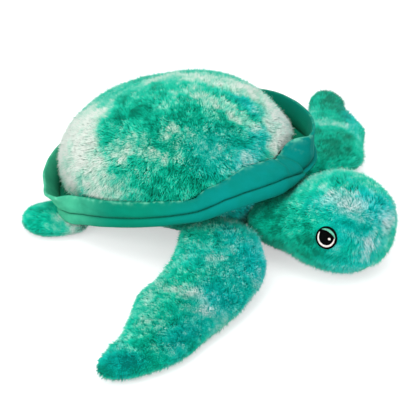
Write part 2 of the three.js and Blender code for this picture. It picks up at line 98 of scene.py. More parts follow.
class Graph:
    """A hand on one node tree: adds nodes, sets their values and joins them."""

    def __init__(self, tree: bpy.types.NodeTree) -> None:
        """Takes hold of a tree."""
        self.tree = tree

    def feed(self, socket: Socket, value: Any) -> None:
        """Joins a socket to another one, or sets its value.

        Args:
            socket: an input.
            value: a number, a colour, a place or an output.
        """
        if isinstance(value, Socket):
            self.tree.links.new(value, socket)
        else:
            socket.default_value = value

    def fill(self, sockets: Any, values: dict[str | int, Any]) -> None:
        """Joins or sets several sockets, by their names or places."""
        for key, value in values.items():
            self.feed(sockets[key], value)

    def node(self, kind: str, inputs: dict[str | int, Any] | None = None, **settings: Any) -> bpy.types.Node:
        """Adds a node.

        Args:
            kind: the node's type.
            inputs: values or sockets, by the name or place of each input.
            settings: the node's own properties.

        Returns:
            The new node.
        """
        made = self.tree.nodes.new(kind)
        for key, value in settings.items():
            setattr(made, key, value)
        self.fill(made.inputs, inputs or {})
        return made

    def math(self, operation: str, first: Any, second: Any = 0.0, clamp: bool = False) -> Socket:
        """Adds a Math node and returns its value."""
        made = self.node("ShaderNodeMath", {0: first, 1: second}, operation=operation, use_clamp=clamp)
        return made.outputs[0]

    def plus(self, first: Any, second: Any) -> Socket:
        """Adds two numbers."""
        return self.math("ADD", first, second)

    def minus(self, first: Any, second: Any) -> Socket:
        """Takes the second number from the first."""
        return self.math("SUBTRACT", first, second)

    def times(self, first: Any, second: Any) -> Socket:
        """Multiplies two numbers."""
        return self.math("MULTIPLY", first, second)

    def vector(self, operation: str, first: Any, second: Any = (0, 0, 0)) -> Socket:
        """Adds a Vector Math node and returns its vector, or its value for a length."""
        made = self.node("ShaderNodeVectorMath", {0: first, 1: second}, operation=operation)
        return made.outputs["Value" if operation in ("LENGTH", "DOT_PRODUCT") else "Vector"]

    def total(self, first: Any, *others: Any) -> Any:
        """Adds vectors up in order."""
        for other in others:
            first = self.vector("ADD", first, other)
        return first

    def scaled(self, vector: Any, factor: Any) -> Socket:
        """Scales a vector by a number."""
        made = self.node("ShaderNodeVectorMath", {0: vector, "Scale": factor}, operation="SCALE")
        return made.outputs["Vector"]

    def parts(self, vector: Any) -> Any:
        """Splits a vector, and gives its numbers as X, Y and Z."""
        return self.node("ShaderNodeSeparateXYZ", {0: vector}).outputs

    def blend_colours(self, share: Any, first: Any, second: Any, mode: str = "MIX") -> Socket:
        """Mixes two colours by a share of 0 to 1.

        Args:
            share: how much of the second.
            first: a colour.
            second: a colour.
            mode: the way that they are mixed.

        Returns:
            The mixed colour.
        """
        made = self.node("ShaderNodeMix", data_type="RGBA", blend_type=mode)
        for place, value in ((0, share), (6, first), (7, second)):
            if isinstance(value, tuple):
                value = (*value[:3], 1.0)
            self.feed(made.inputs[place], value)
        return made.outputs[2]

    def ramp(self, value: Any, low: float, high: float, start: float = 0.0, end: float = 1.0) -> Socket:
        """Maps a value smoothly from low..high to start..end."""
        places = {"Value": value, "From Min": low, "From Max": high, "To Min": start, "To Max": end}
        return self.node("ShaderNodeMapRange", places, interpolation_type="SMOOTHSTEP").outputs["Result"]

    def clouds(self, place: Any, scale: Any, detail: float = 2.0) -> Any:
        """Adds a noise texture read at a place, and gives its outputs."""
        return self.node("ShaderNodeTexNoise", {"Vector": place, "Scale": scale, "Detail": detail}).outputs

    def drift(self, place: Any, scale: float, detail: float) -> Socket:
        """Reads a soft random direction at a place."""
        return self.vector("SUBTRACT", self.clouds(place, scale, detail)["Color"], (0.5, 0.5, 0.5))

    def share(self, name: str) -> Socket:
        """Reads a number that the mesh holds, in a material."""
        return self.node("ShaderNodeAttribute", attribute_name=name).outputs["Fac"]

    def named(self, name: str, kind: str) -> Socket:
        """Reads what the mesh holds under a name, in Geometry Nodes."""
        made = self.node("GeometryNodeInputNamedAttribute", {"Name": name}, data_type=kind)
        return made.outputs["Attribute"]

    def stored(self, geometry: Any, name: str, kind: str, value: Any) -> Socket:
        """Stores a value at each point of a geometry.

        Args:
            geometry: what holds the points.
            name: the value's name.
            kind: its data type.
            value: the value.

        Returns:
            The geometry with it.
        """
        inputs = {"Geometry": geometry, "Name": name}
        made = self.node("GeometryNodeStoreNamedAttribute", inputs, data_type=kind, domain="POINT")
        self.feed(next(i for i in made.inputs if i.name == "Value" and i.enabled), value)
        return made.outputs[0]

    def random(self, low: Any, high: Any, seed: Any, shift: int = 0) -> Socket:
        """Draws a number or a vector between two limits, from a seed that is moved on by a shift.

        Args:
            low: the lowest.
            high: the highest.
            seed: a whole number.
            shift: what is added to it.

        Returns:
            The drawn value.
        """
        kind, first, out = ("FLOAT_VECTOR", 0, 0) if isinstance(low, tuple) else ("FLOAT", 2, 1)
        made = self.node("FunctionNodeRandomValue", data_type=kind)
        self.fill(made.inputs, {first: low, first + 1: high, "Seed": self.plus(seed, float(shift))})
        return made.outputs[out]


def new_group(name: str, kind: str, inputs: dict[str, str],
              outputs: dict[str, str]) -> tuple[Graph, Any, Any]:
    """Makes a node group with named sockets.

    Args:
        name: the group's name.
        kind: ShaderNodeTree or GeometryNodeTree.
        inputs: the last word of each input's socket type, by name.
        outputs: the same for the outputs.

    Returns:
        The graph, the sockets that come in and the sockets that go out.
    """
    tree = bpy.data.node_groups.new(name, kind)
    for way, sockets in (("INPUT", inputs), ("OUTPUT", outputs)):
        for label, last in sockets.items():
            tree.interface.new_socket(name=label, in_out=way, socket_type=f"NodeSocket{last}")
    graph = Graph(tree)
    inlet, outlet = graph.node("NodeGroupInput"), graph.node("NodeGroupOutput")
    return graph, inlet.outputs, outlet.inputs


def new_material(name: str) -> tuple[bpy.types.Material, Graph, Any]:
    """Starts a material, and gives it with its graph and its shader's inputs."""
    made = bpy.data.materials.new(name)
    made.use_nodes = True
    return made, Graph(made.node_tree), made.node_tree.nodes["Principled BSDF"].inputs


# Meshes


def link_object(name: str, mesh: bpy.types.Mesh) -> bpy.types.Object:
    """Puts a mesh in the scene under a name.

    Args:
        name: its name.
        mesh: its mesh.

    Returns:
        The object.
    """
    mesh.name = name
    made = bpy.data.objects.new(name, mesh)
    bpy.context.scene.collection.objects.link(made)
    return made


def mesh_from(name: str, points: Any, faces: Sequence[Sequence[int]], smooth: bool = True) -> bpy.types.Mesh:
    """Makes a mesh with its normals turned outwards.

    Args:
        name: the mesh's name.
        points: its places in metres.
        faces: the points of each face.
        smooth: whether it is shaded smooth.

    Returns:
        The mesh.
    """
    mesh = bpy.data.meshes.new(name)
    mesh.from_pydata([tuple(p) for p in points], [], [tuple(f) for f in faces])
    work = bmesh.new()
    work.from_mesh(mesh)
    bmesh.ops.recalc_face_normals(work, faces=work.faces)
    work.to_mesh(mesh)
    work.free()
    mesh.polygons.foreach_set("use_smooth", [smooth] * len(mesh.polygons))
    return mesh


def evaluated(obj: bpy.types.Object) -> bpy.types.Mesh:
    """Turns an object with its modifiers into a new plain mesh.

    Args:
        obj: the object.

    Returns:
        The mesh as it then looks.
    """
    bpy.context.view_layer.update()
    graph = bpy.context.evaluated_depsgraph_get()
    whole = obj.evaluated_get(graph)
    return bpy.data.meshes.new_from_object(whole, preserve_all_data_layers=True, depsgraph=graph)


def rows_of(mesh: bpy.types.Mesh, label: str) -> np.ndarray:
    """Reads the co or normal of each point of a mesh as rows."""
    flat = np.empty(len(mesh.vertices) * 3, np.float32)
    mesh.vertices.foreach_get(label, flat)
    return flat.reshape(-1, 3).astype(float)


def places_of(mesh: bpy.types.Mesh) -> np.ndarray:
    """Reads the points of a mesh as rows."""
    return rows_of(mesh, "co")


def normals_of(mesh: bpy.types.Mesh) -> np.ndarray:
    """Reads the vertex normals of a mesh as rows."""
    return rows_of(mesh, "normal")


def set_places(mesh: bpy.types.Mesh, places: np.ndarray) -> None:
    """Writes the points of a mesh from rows."""
    mesh.vertices.foreach_set("co", places.astype(np.float32).ravel())
    mesh.update()


def set_share(mesh: bpy.types.Mesh, name: str, values: np.ndarray) -> None:
    """Stores a number at each point of a mesh."""
    layer = mesh.attributes.get(name) or mesh.attributes.new(name, "FLOAT", "POINT")
    layer.data.foreach_set("value", values.astype(np.float32))


def set_vectors(mesh: bpy.types.Mesh, name: str, rows: np.ndarray) -> None:
    """Stores a vector at each point of a mesh."""
    layer = mesh.attributes.new(name, "FLOAT_VECTOR", "POINT")
    layer.data.foreach_set("vector", rows.astype(np.float32).ravel())


def ring_faces(turns: int, around: int, closed: bool) -> list[list[int]]:
    """Faces between closed sections laid out in turn, joined from the last to the first if closed.

    Args:
        turns: how many sections.
        around: how many points each has.
        closed: whether the last joins the first.

    Returns:
        The points of each face.
    """
    return [
        [i * around + j, i * around + (j + 1) % around,
         (i + 1) % turns * around + (j + 1) % around, (i + 1) % turns * around + j]
        for i in range(turns if closed else turns - 1)
        for j in range(around)
    ]


def largest_part(mesh: bpy.types.Mesh) -> bpy.types.Mesh:
    """Keeps only the connected part of a mesh that has the most points.

    Args:
        mesh: the mesh, which is changed.

    Returns:
        The same mesh.
    """
    work = bmesh.new()
    work.from_mesh(mesh)
    left, best = set(work.verts), set()
    while left:
        found, front = set(), [next(iter(left))]
        while front:
            vert = front.pop()
            if vert in found:
                continue
            found.add(vert)
            front.extend(e.other_vert(vert) for e in vert.link_edges)
        left -= found
        best = max(best, found, key=len)
    bmesh.ops.delete(work, geom=[v for v in work.verts if v not in best], context="VERTS")
    work.to_mesh(mesh)
    work.free()
    return mesh


def smooth_out(mesh: bpy.types.Mesh, times: int, draw_in: float = 0.5, give_back: float = -0.52) -> None:
    """Evens out a mesh.

    Args:
        mesh: the mesh to change.
        times: how often.
        draw_in: how far each point moves to the middle of its neighbours.
        give_back: how far it then moves the other way, so that the form keeps its size.
    """
    edges = np.empty(len(mesh.edges) * 2, np.int32)
    mesh.edges.foreach_get("vertices", edges)
    edges = edges.reshape(-1, 2)
    places = places_of(mesh)
    count = np.bincount(edges.ravel(), minlength=len(places))[:, None]
    for share in (draw_in, give_back) * times:
        total = np.zeros_like(places)
        np.add.at(total, edges[:, 0], places[edges[:, 1]])
        np.add.at(total, edges[:, 1], places[edges[:, 0]])
        places = places + share * (total / np.maximum(count, 1) - places)
    set_places(mesh, places)


def tell(obj: bpy.types.Object) -> None:
    """Logs a finished piece with its triangles."""
    LOG.info("%s: %d triangles", obj.name, sum(len(p.vertices) - 2 for p in obj.data.polygons))


def discard(*objects: bpy.types.Object) -> None:
    """Takes helper objects out of the scene."""
    for obj in objects:
        bpy.data.objects.remove(obj)


# Finishes


@dataclass(frozen=True)
class DyeSpot:
    """One soft patch of dye in cloth, an ellipsoid."""

    centre: Place
    radii: tuple[float, float, float]
    strength: float


def dye_spots(*rows: tuple[float, ...], side: float = 1.0, share: float = 1.0) -> tuple[DyeSpot, ...]:
    """Makes patches from rows of centre, radii and strength.

    Args:
        rows: x, y, z, three radii and a strength each.
        side: 1 as written, or −1 mirrored to the toy's other side.
        share: what every strength is multiplied by.

    Returns:
        The patches.
    """
    return tuple(
        DyeSpot((x, side * y, z), (a, b, c), strength * share)
        for x, y, z, a, b, c, strength in rows
    )


@dataclass(frozen=True)
class Dye:
    """The patches that one form's plush is dyed with. Some of its darker patches are painted shade."""

    pale: tuple[DyeSpot, ...]
    blue: tuple[DyeSpot, ...] = ()
    deep: tuple[DyeSpot, ...] = ()


@dataclass(frozen=True)
class Clouding:
    """Soft clouds in a dye: how many to a metre, their detail and how far they bend a patch."""

    scale: float
    detail: float
    reach: float = 0.0


BROAD_RUN = Clouding(42.0, 2.0, 34.0)
FINE_RUN = Clouding(230.0, 1.0, 6.0)
FROST = Clouding(95.0, 3.0)


def dye_spot_group() -> bpy.types.NodeTree:
    """Builds the group that gives the mask of one dye spot.

    Returns:
        A shader group with the mask out.
    """
    found = bpy.data.node_groups.get("dye_spot")
    if found:
        return found
    inputs = {"Place": "Vector", "Centre": "Vector", "Radii": "Vector", "Strength": "Float"}
    graph, inlet, outlet = new_group("dye_spot", "ShaderNodeTree", inputs, {"Mask": "Float"})
    away = graph.vector("SUBTRACT", inlet["Place"], inlet["Centre"])
    share = graph.vector("LENGTH", graph.vector("DIVIDE", away, inlet["Radii"]))
    full, faded = 0.2, 1.55
    graph.feed(outlet["Mask"], graph.times(graph.ramp(share, full, faded, 1.0, 0.0), inlet["Strength"]))
    return graph.tree


def dye_group(name: str, dye: Dye) -> bpy.types.NodeTree:
    """Builds the group of a dyed form.

    Args:
        name: the form's name.
        dye: its patches.

    Returns:
        A shader group with an object place in, and the pale, blue and darker masks, the last holding both dye
        and painted shade, and the frost out.
    """
    outputs = {label: "Float" for label in ("Pale", "Blue", "Deep", "Frost")}
    graph, inlet, outlet = new_group(f"dye_{name}", "ShaderNodeTree", {"Place": "Vector"}, outputs)
    place = inlet["Place"]
    bent = place
    for run in (BROAD_RUN, FINE_RUN):
        bent = graph.total(bent, graph.scaled(graph.drift(place, run.scale, run.detail), run.reach * MM))
    for label, spots in (("Pale", dye.pale), ("Blue", dye.blue), ("Deep", dye.deep)):
        mask: Any = 0.0
        for spot in spots:
            values = {"Place": bent, "Centre": [c * MM for c in spot.centre],
                      "Radii": [r * MM for r in spot.radii], "Strength": spot.strength}
            made = graph.node("ShaderNodeGroup", values, node_tree=dye_spot_group()).outputs["Mask"]
            mask = graph.minus(graph.plus(mask, made), graph.times(mask, made))
        graph.feed(outlet[label], mask)
    low, high = 0.34, 0.66
    graph.feed(outlet["Frost"], graph.ramp(graph.clouds(place, FROST.scale, FROST.detail)["Fac"], low, high))
    return graph.tree


def dye_colours(*levels: tuple[int, int, int]) -> tuple[Colour, ...]:
    """Turns a dye's screen colours, from the full dye to the bare cloth, into linear ones."""
    return tuple(linear(*level) for level in levels)


LIMB_GREEN = dye_colours((0, 140, 110), (0, 202, 164), (6, 216, 180), (54, 222, 190), (136, 234, 208),
                         (220, 247, 234))
LIMB_BLUE = dye_colours((0, 156, 144), (0, 208, 196), (8, 218, 210), (60, 222, 216), (136, 230, 228),
                        (218, 246, 246))
BODY_GREEN = dye_colours((0, 142, 112), (4, 204, 166), (40, 216, 182), (108, 222, 194), (180, 236, 212),
                         (236, 247, 236))
BODY_BLUE = dye_colours((0, 150, 142), (0, 202, 196), (30, 214, 212), (100, 222, 220), (174, 236, 230),
                        (234, 249, 244))


@dataclass(frozen=True)
class PlushFinish:
    """Tie-dyed plush, on the skin and on its pile. The colours run from the full dye to the bare cloth."""

    name: str
    dye: Dye
    green: tuple[Colour, ...] = BODY_GREEN
    blue: tuple[Colour, ...] = BODY_BLUE
    stops: tuple[float, ...] = (0.0, 0.3, 0.48, 0.62, 0.8, 1.0)
    base_level: float = 0.36
    strand_light_and_frost_gain: float = 0.62
    tip_start: float = 0.55
    pale_calm: float = 0.55
    frost_gain: float = 0.34
    tuft_gain: float = 0.34
    deep_loss: float = 0.34
    root_shade: float = 0.72
    lofted_normal: float = 0.75
    roughness: float = 0.9
    sheen: float = 0.08
    shine: float = 0.05

    def cloth_colours(self, graph: Graph, level: Any, colours: tuple[Colour, ...]) -> Socket:
        """Reads the dye's colour at a level of 0 to 1.

        Args:
            graph: the graph that it is made in.
            level: how pale the cloth is.
            colours: from the full dye to the bare cloth.

        Returns:
            The colour.
        """
        made = graph.node("ShaderNodeValToRGB", {"Fac": level})
        stops = made.color_ramp.elements
        while len(stops) < len(self.stops):
            stops.new(0.5)
        for stop, place, colour in zip(stops, self.stops, colours):
            stop.position = place
            stop.color = (*colour, 1.0)
        return made.outputs["Color"]

    def level(self, graph: Graph, masks: Any, way: Socket) -> Socket:
        """Adds up how pale the cloth is: its patches, the odd paler strand, and along each strand paler tips,
        partly frosted dye and partly painted light, over darker roots, which are painted shade.

        Args:
            graph: the material's graph.
            masks: the dye group's outputs.
            way: how far up its strand a place lies.

        Returns:
            The level, from 0 for the full dye to 1 for the bare cloth.
        """
        middle = 0.5
        total = graph.math("MULTIPLY_ADD", masks["Pale"], 1.0 - self.base_level)
        total.node.inputs[2].default_value = self.base_level
        total = graph.minus(total, graph.times(masks["Deep"], self.deep_loss))
        calm = graph.minus(1.0, graph.times(masks["Pale"], self.pale_calm))
        # Painted light and shade along each strand: the tips paler, partly frosted dye and partly painted
        # light; the roots darker, painted shade.
        tips = graph.times(graph.minus(way, self.tip_start), graph.times(calm, self.strand_light_and_frost_gain))
        frost = graph.times(graph.minus(masks["Frost"], middle), self.frost_gain)
        odd = graph.times(graph.minus(graph.share("tuft"), middle), self.tuft_gain)
        total = graph.plus(graph.plus(total, tips), graph.times(graph.plus(frost, odd), calm))
        return graph.math("ADD", total, 0.0, clamp=True)

    def lofted(self, graph: Graph) -> Socket:
        """Mixes each strand's own normal with the way that the coat stands, so that the coat shades as one.

        Args:
            graph: the graph that it is made in.

        Returns:
            The normal.
        """
        stand = graph.node("ShaderNodeAttribute", attribute_name="stand").outputs["Vector"]
        turned = graph.node("ShaderNodeVectorTransform", {0: stand}, vector_type="NORMAL",
                            convert_from="OBJECT", convert_to="WORLD").outputs[0]
        own = graph.node("ShaderNodeNewGeometry").outputs["Normal"]
        share = self.lofted_normal
        mixed = graph.total(graph.scaled(own, 1 - share), graph.scaled(turned, share))
        return graph.vector("NORMALIZE", mixed)

    def material(self) -> bpy.types.Material:
        """Builds the material.

        Returns:
            The dyed plush.
        """
        made, graph, shader = new_material(self.name)
        place = graph.node("ShaderNodeTexCoord").outputs["Object"]
        dyed_by = dye_group(self.name, self.dye)
        masks = graph.node("ShaderNodeGroup", {"Place": place}, node_tree=dyed_by).outputs
        way = graph.share("way")
        level = self.level(graph, masks, way)
        green, blue = (self.cloth_colours(graph, level, colours) for colours in (self.green, self.blue))
        dyed = graph.blend_colours(masks["Blue"], green, blue)
        root = graph.ramp(way, 0.0, self.tip_start, self.root_shade, 1.0)
        grey = {"Red": root, "Green": root, "Blue": root}
        shade = graph.node("ShaderNodeCombineColor", grey).outputs["Color"]
        graph.fill(shader, {"Base Color": graph.blend_colours(1.0, dyed, shade, "MULTIPLY"),
                            "Roughness": self.roughness, "Sheen Weight": self.sheen,
                            "Specular IOR Level": self.shine, "Normal": self.lofted(graph)})
        return made


def nap_group() -> bpy.types.NodeTree:
    """Builds the group of brushed nap: a mask of its clouds and a height of its grain.

    Returns:
        A shader group with the mask and the height out.
    """
    inputs = {"Place": "Vector", "Cloud Scale": "Float", "Grain Scale": "Float"}
    outputs = {"Clouds": "Float", "Height": "Float"}
    graph, inlet, outlet = new_group("brushed_nap", "ShaderNodeTree", inputs, outputs)
    low, high = 0.3, 0.7
    clouds = graph.clouds(inlet["Place"], inlet["Cloud Scale"], 3.0)["Fac"]
    grain = graph.clouds(inlet["Place"], inlet["Grain Scale"])["Fac"]
    graph.fill(outlet, {"Clouds": graph.ramp(clouds, low, high), "Height": grain})
    return graph.tree


@dataclass(frozen=True)
class SuedeFinish:
    """Short-napped suede-like cloth, greener at the toy's rear and bluer at its front, with a paler line along
    its fold that is partly wear and partly painted highlight, and painted shade inside the collar and along
    the crease.
    """

    name: str
    rear: Colour = linear(76, 184, 144)
    green: Colour = linear(0, 122, 97)
    blue: Colour = linear(0, 120, 113)
    worn_and_highlit: Colour = linear(120, 204, 172)
    dark: Colour = linear(0, 104, 82)
    suede_shade: Colour = linear(0, 118, 84)
    rear_run: tuple[float, float] = (-95.0, -15.0)
    front_run: tuple[float, float] = (0.0, 80.0)
    cloud_scale: float = 70.0
    grain_scale: float = 1500.0
    rub_and_highlight_scale: float = 160.0
    rub_and_highlight_run: tuple[float, float] = (0.4, 0.75)
    cloud_share: float = 0.28
    rub_and_highlight_share: float = 0.6
    inside_shade_share: float = 0.9
    crease_shade_share: float = 0.75
    grain_strength: float = 0.35
    grain_depth: float = 0.25
    roughness: float = 0.85
    sheen: float = 0.12
    sheen_roughness: float = 0.35
    shine: float = 0.05

    def material(self) -> bpy.types.Material:
        """Builds the material.

        Returns:
            The suede.
        """
        made, graph, shader = new_material(self.name)
        place = graph.node("ShaderNodeTexCoord").outputs["Object"]
        along = graph.parts(place)["X"]
        values = {"Place": place, "Cloud Scale": self.cloud_scale, "Grain Scale": self.grain_scale}
        nap = graph.node("ShaderNodeGroup", values, node_tree=nap_group()).outputs
        base = graph.blend_colours(graph.ramp(along, *(x * MM for x in self.rear_run)), self.rear, self.green)
        base = graph.blend_colours(graph.ramp(along, *(x * MM for x in self.front_run)), base, self.blue)
        base = graph.blend_colours(graph.times(nap["Clouds"], self.cloud_share), base, self.dark)
        # The paler line at the fold and the ridge: partly wear, partly painted highlight.
        rubbed_and_highlit = graph.ramp(graph.clouds(place, self.rub_and_highlight_scale)["Fac"], *self.rub_and_highlight_run)
        rub_and_highlight = graph.times(graph.share("fold"), rubbed_and_highlit)
        base = graph.blend_colours(graph.times(rub_and_highlight, self.rub_and_highlight_share), base, self.worn_and_highlit)
        # Painted shade inside the collar and on the trough floor, and along the crease at the near panel's
        # end.
        for name, share in (("inside", self.inside_shade_share), ("crease", self.crease_shade_share)):
            base = graph.blend_colours(graph.times(graph.share(name), share), base, self.suede_shade)
        grain = {"Height": nap["Height"], "Strength": self.grain_strength, "Distance": self.grain_depth * MM}
        graph.fill(shader, {"Base Color": base, "Roughness": self.roughness, "Sheen Weight": self.sheen,
                            "Sheen Roughness": self.sheen_roughness, "Sheen Tint": (*self.worn_and_highlit, 1.0),
                            "Specular IOR Level": self.shine,
                            "Normal": graph.node("ShaderNodeBump", grain).outputs["Normal"]})
        return made


@dataclass(frozen=True)
class ThreadFinish:
    """Sewing thread with a soft shine and a fine twist."""

    name: str
    colour: Colour
    shade: Colour
    roughness: float = 0.6
    shine: float = 0.15
    twist_scale: float = 900.0
    twist_strength: float = 0.3
    twist_depth: float = 0.08
    mottle_scale: float = 700.0
    mottle_run: tuple[float, float] = (0.35, 0.7)

    def material(self) -> bpy.types.Material:
        """Builds the material.

        Returns:
            The thread.
        """
        made, graph, shader = new_material(self.name)
        place = graph.node("ShaderNodeTexCoord").outputs["Object"]
        waves = {"Vector": place, "Scale": self.twist_scale, "Distortion": 2.0}
        twist = graph.node("ShaderNodeTexWave", waves, bands_direction="DIAGONAL").outputs["Fac"]
        mottle = graph.ramp(graph.clouds(place, self.mottle_scale)["Fac"], *self.mottle_run)
        bump = {"Height": twist, "Strength": self.twist_strength, "Distance": self.twist_depth * MM}
        graph.fill(shader, {"Base Color": graph.blend_colours(mottle, self.shade, self.colour),
                            "Roughness": self.roughness, "Specular IOR Level": self.shine,
                            "Normal": graph.node("ShaderNodeBump", bump).outputs["Normal"]})
        return made


# Pile and thread, made with Geometry Nodes


class Tree:
    """A Geometry Nodes tree that is used as a modifier with named inputs."""

    def __init__(self, tree: bpy.types.NodeTree) -> None:
        """Keeps the tree and the identifiers of its inputs."""
        self.tree = tree
        items = tree.interface.items_tree
        self.keys = {item.name: item.identifier for item in items if item.in_out == "INPUT"}

    def grow(self, name: str, base: bpy.types.Mesh, values: dict[str, Any]) -> bpy.types.Object:
        """Runs the tree on a copy of a mesh and keeps the result as a plain object.

        Args:
            name: the new object's name.
            base: the mesh that the tree works on.
            values: the modifier's inputs by name.

        Returns:
            The new object, with no modifier.
        """
        helper = link_object(f"{name}_base", base.copy())
        modifier = helper.modifiers.new("tree", "NODES")
        modifier.node_group = self.tree
        for key, value in values.items():
            modifier[self.keys[key]] = value
        made = link_object(name, evaluated(helper))
        made.data.materials.clear()
        made.data.materials.append(values["Material"])
        made.data.polygons.foreach_set("material_index", [0] * len(made.data.polygons))
        discard(helper)
        return made


@dataclass(frozen=True)
class PileHabit:
    """How the strands of every coat fall. Lengths are in millimetres."""

    bare: float = 0.05
    whorl_scale: float = 48.0
    tousle_scale: float = 150.0
    tousle_reach: float = 5.0
    tousle_share: float = 0.9
    tuft_run: tuple[float, float] = (0.1, 0.75)
    jitter: float = 0.5
    clearance: float = 0.5
    least_drop: float = 0.06
    edge_height: float = 0.9
    middle_height: float = 0.14
    longest: float = 1.1
    yaw: float = 0.9
    girths: tuple[float, float] = (0.75, 1.2)
    least_length: float = 0.5
    middle_paler: float = 0.6
    odd_paler: float = 0.4
    stand_lean: float = 0.3
    swell: float = 2.0
    length_draw: int = 3
    yaw_draw: int = 5
    girth_draw: int = 7
    tuft_draw: int = 11


def turned_to(graph: Graph, main: str, way: Any, second: str, side: Any) -> Socket:
    """Turns one axis of a copy along a way, and then another axis towards a side."""
    kind = "FunctionNodeAlignRotationToVector"
    made = graph.node(kind, {"Vector": way}, axis=main).outputs[0]
    return graph.node(kind, {"Rotation": made, "Vector": side}, axis=second, pivot_axis=main).outputs[0]


def dressed(graph: Graph, geometry: Socket, material: Socket) -> Socket:
    """Makes laid copies real, smooth and painted."""
    made = graph.node("GeometryNodeRealizeInstances", {"Geometry": geometry}).outputs[0]
    made = graph.node("GeometryNodeSetShadeSmooth", {"Geometry": made}).outputs[0]
    return graph.node("GeometryNodeSetMaterial", {"Geometry": made, "Material": material}).outputs[0]


def strand_form(graph: Graph, take: Any, habit: PileHabit) -> Socket:
    """Builds one strand: a three-sided cone that swells at its middle and bends to one side.

    Args:
        graph: the graph that it is made in.
        take: the tree's inputs.
        habit: how the strands fall.

    Returns:
        The strand, with how far up each place lies.
    """
    cone = graph.node(
        "GeometryNodeMeshCone",
        {"Vertices": 3, "Side Segments": take["Rings"], "Radius Top": 0.0, "Radius Bottom": take["Width"],
         "Depth": take["Length"]},
        fill_type="NGON",
    ).outputs["Mesh"]
    place = graph.parts(graph.node("GeometryNodeInputPosition").outputs["Position"])
    way = graph.math("DIVIDE", place["Z"], take["Length"], clamp=True)
    known = graph.stored(cone, "way", "FLOAT", way)
    wider = graph.plus(1.0, graph.times(graph.times(way, graph.minus(1.0, way)), habit.swell))
    bend = graph.times(take["Bend"], graph.times(way, way))
    values = {"X": graph.plus(graph.times(place["X"], wider), bend), "Y": graph.times(place["Y"], wider),
              "Z": place["Z"]}
    moved = graph.node("ShaderNodeCombineXYZ", values).outputs[0]
    return graph.node("GeometryNodeSetPosition", {"Geometry": known, "Position": moved}).outputs[0]


def strand_lean(graph: Graph, take: Any, place: Socket, normal: Socket,
                habit: PileHabit) -> tuple[Socket, Socket]:
    """Works out how a strand leans: combed, tousled and gathered to the middle of its tuft.

    Args:
        graph: the pile's graph.
        take: the tree's inputs.
        place: where the strand stands.
        normal: the skin's own normal there.
        habit: how the strands fall.

    Returns:
        The lean, and how near the strand stands to its tuft's middle.
    """
    whorl, tousle = (graph.drift(place, scale, 1.0) for scale in (habit.whorl_scale, habit.tousle_scale))
    shifted = graph.total(place, graph.scaled(tousle, habit.tousle_reach * MM))
    cell = graph.node("ShaderNodeTexVoronoi", {"Vector": shifted, "Scale": take["Tufts"]}).outputs
    inward = graph.vector("SUBTRACT", cell["Position"], shifted)
    upright = graph.scaled(normal, graph.vector("DOT_PRODUCT", inward, normal))
    inward = graph.vector("SUBTRACT", inward, upright)
    inward = graph.scaled(inward, graph.math("DIVIDE", take["Gather"], take["Length"]))
    jitter = graph.random((-habit.jitter,) * 3, (habit.jitter,) * 3, take["Seed"])
    lean = graph.total(
        take["Comb"], inward, graph.scaled(whorl, take["Clump"]),
        graph.scaled(tousle, graph.times(take["Clump"], habit.tousle_share)),
        graph.scaled(jitter, take["Stray"]),
    )
    return lean, graph.ramp(cell["Distance"], *habit.tuft_run, 1.0, 0.0)


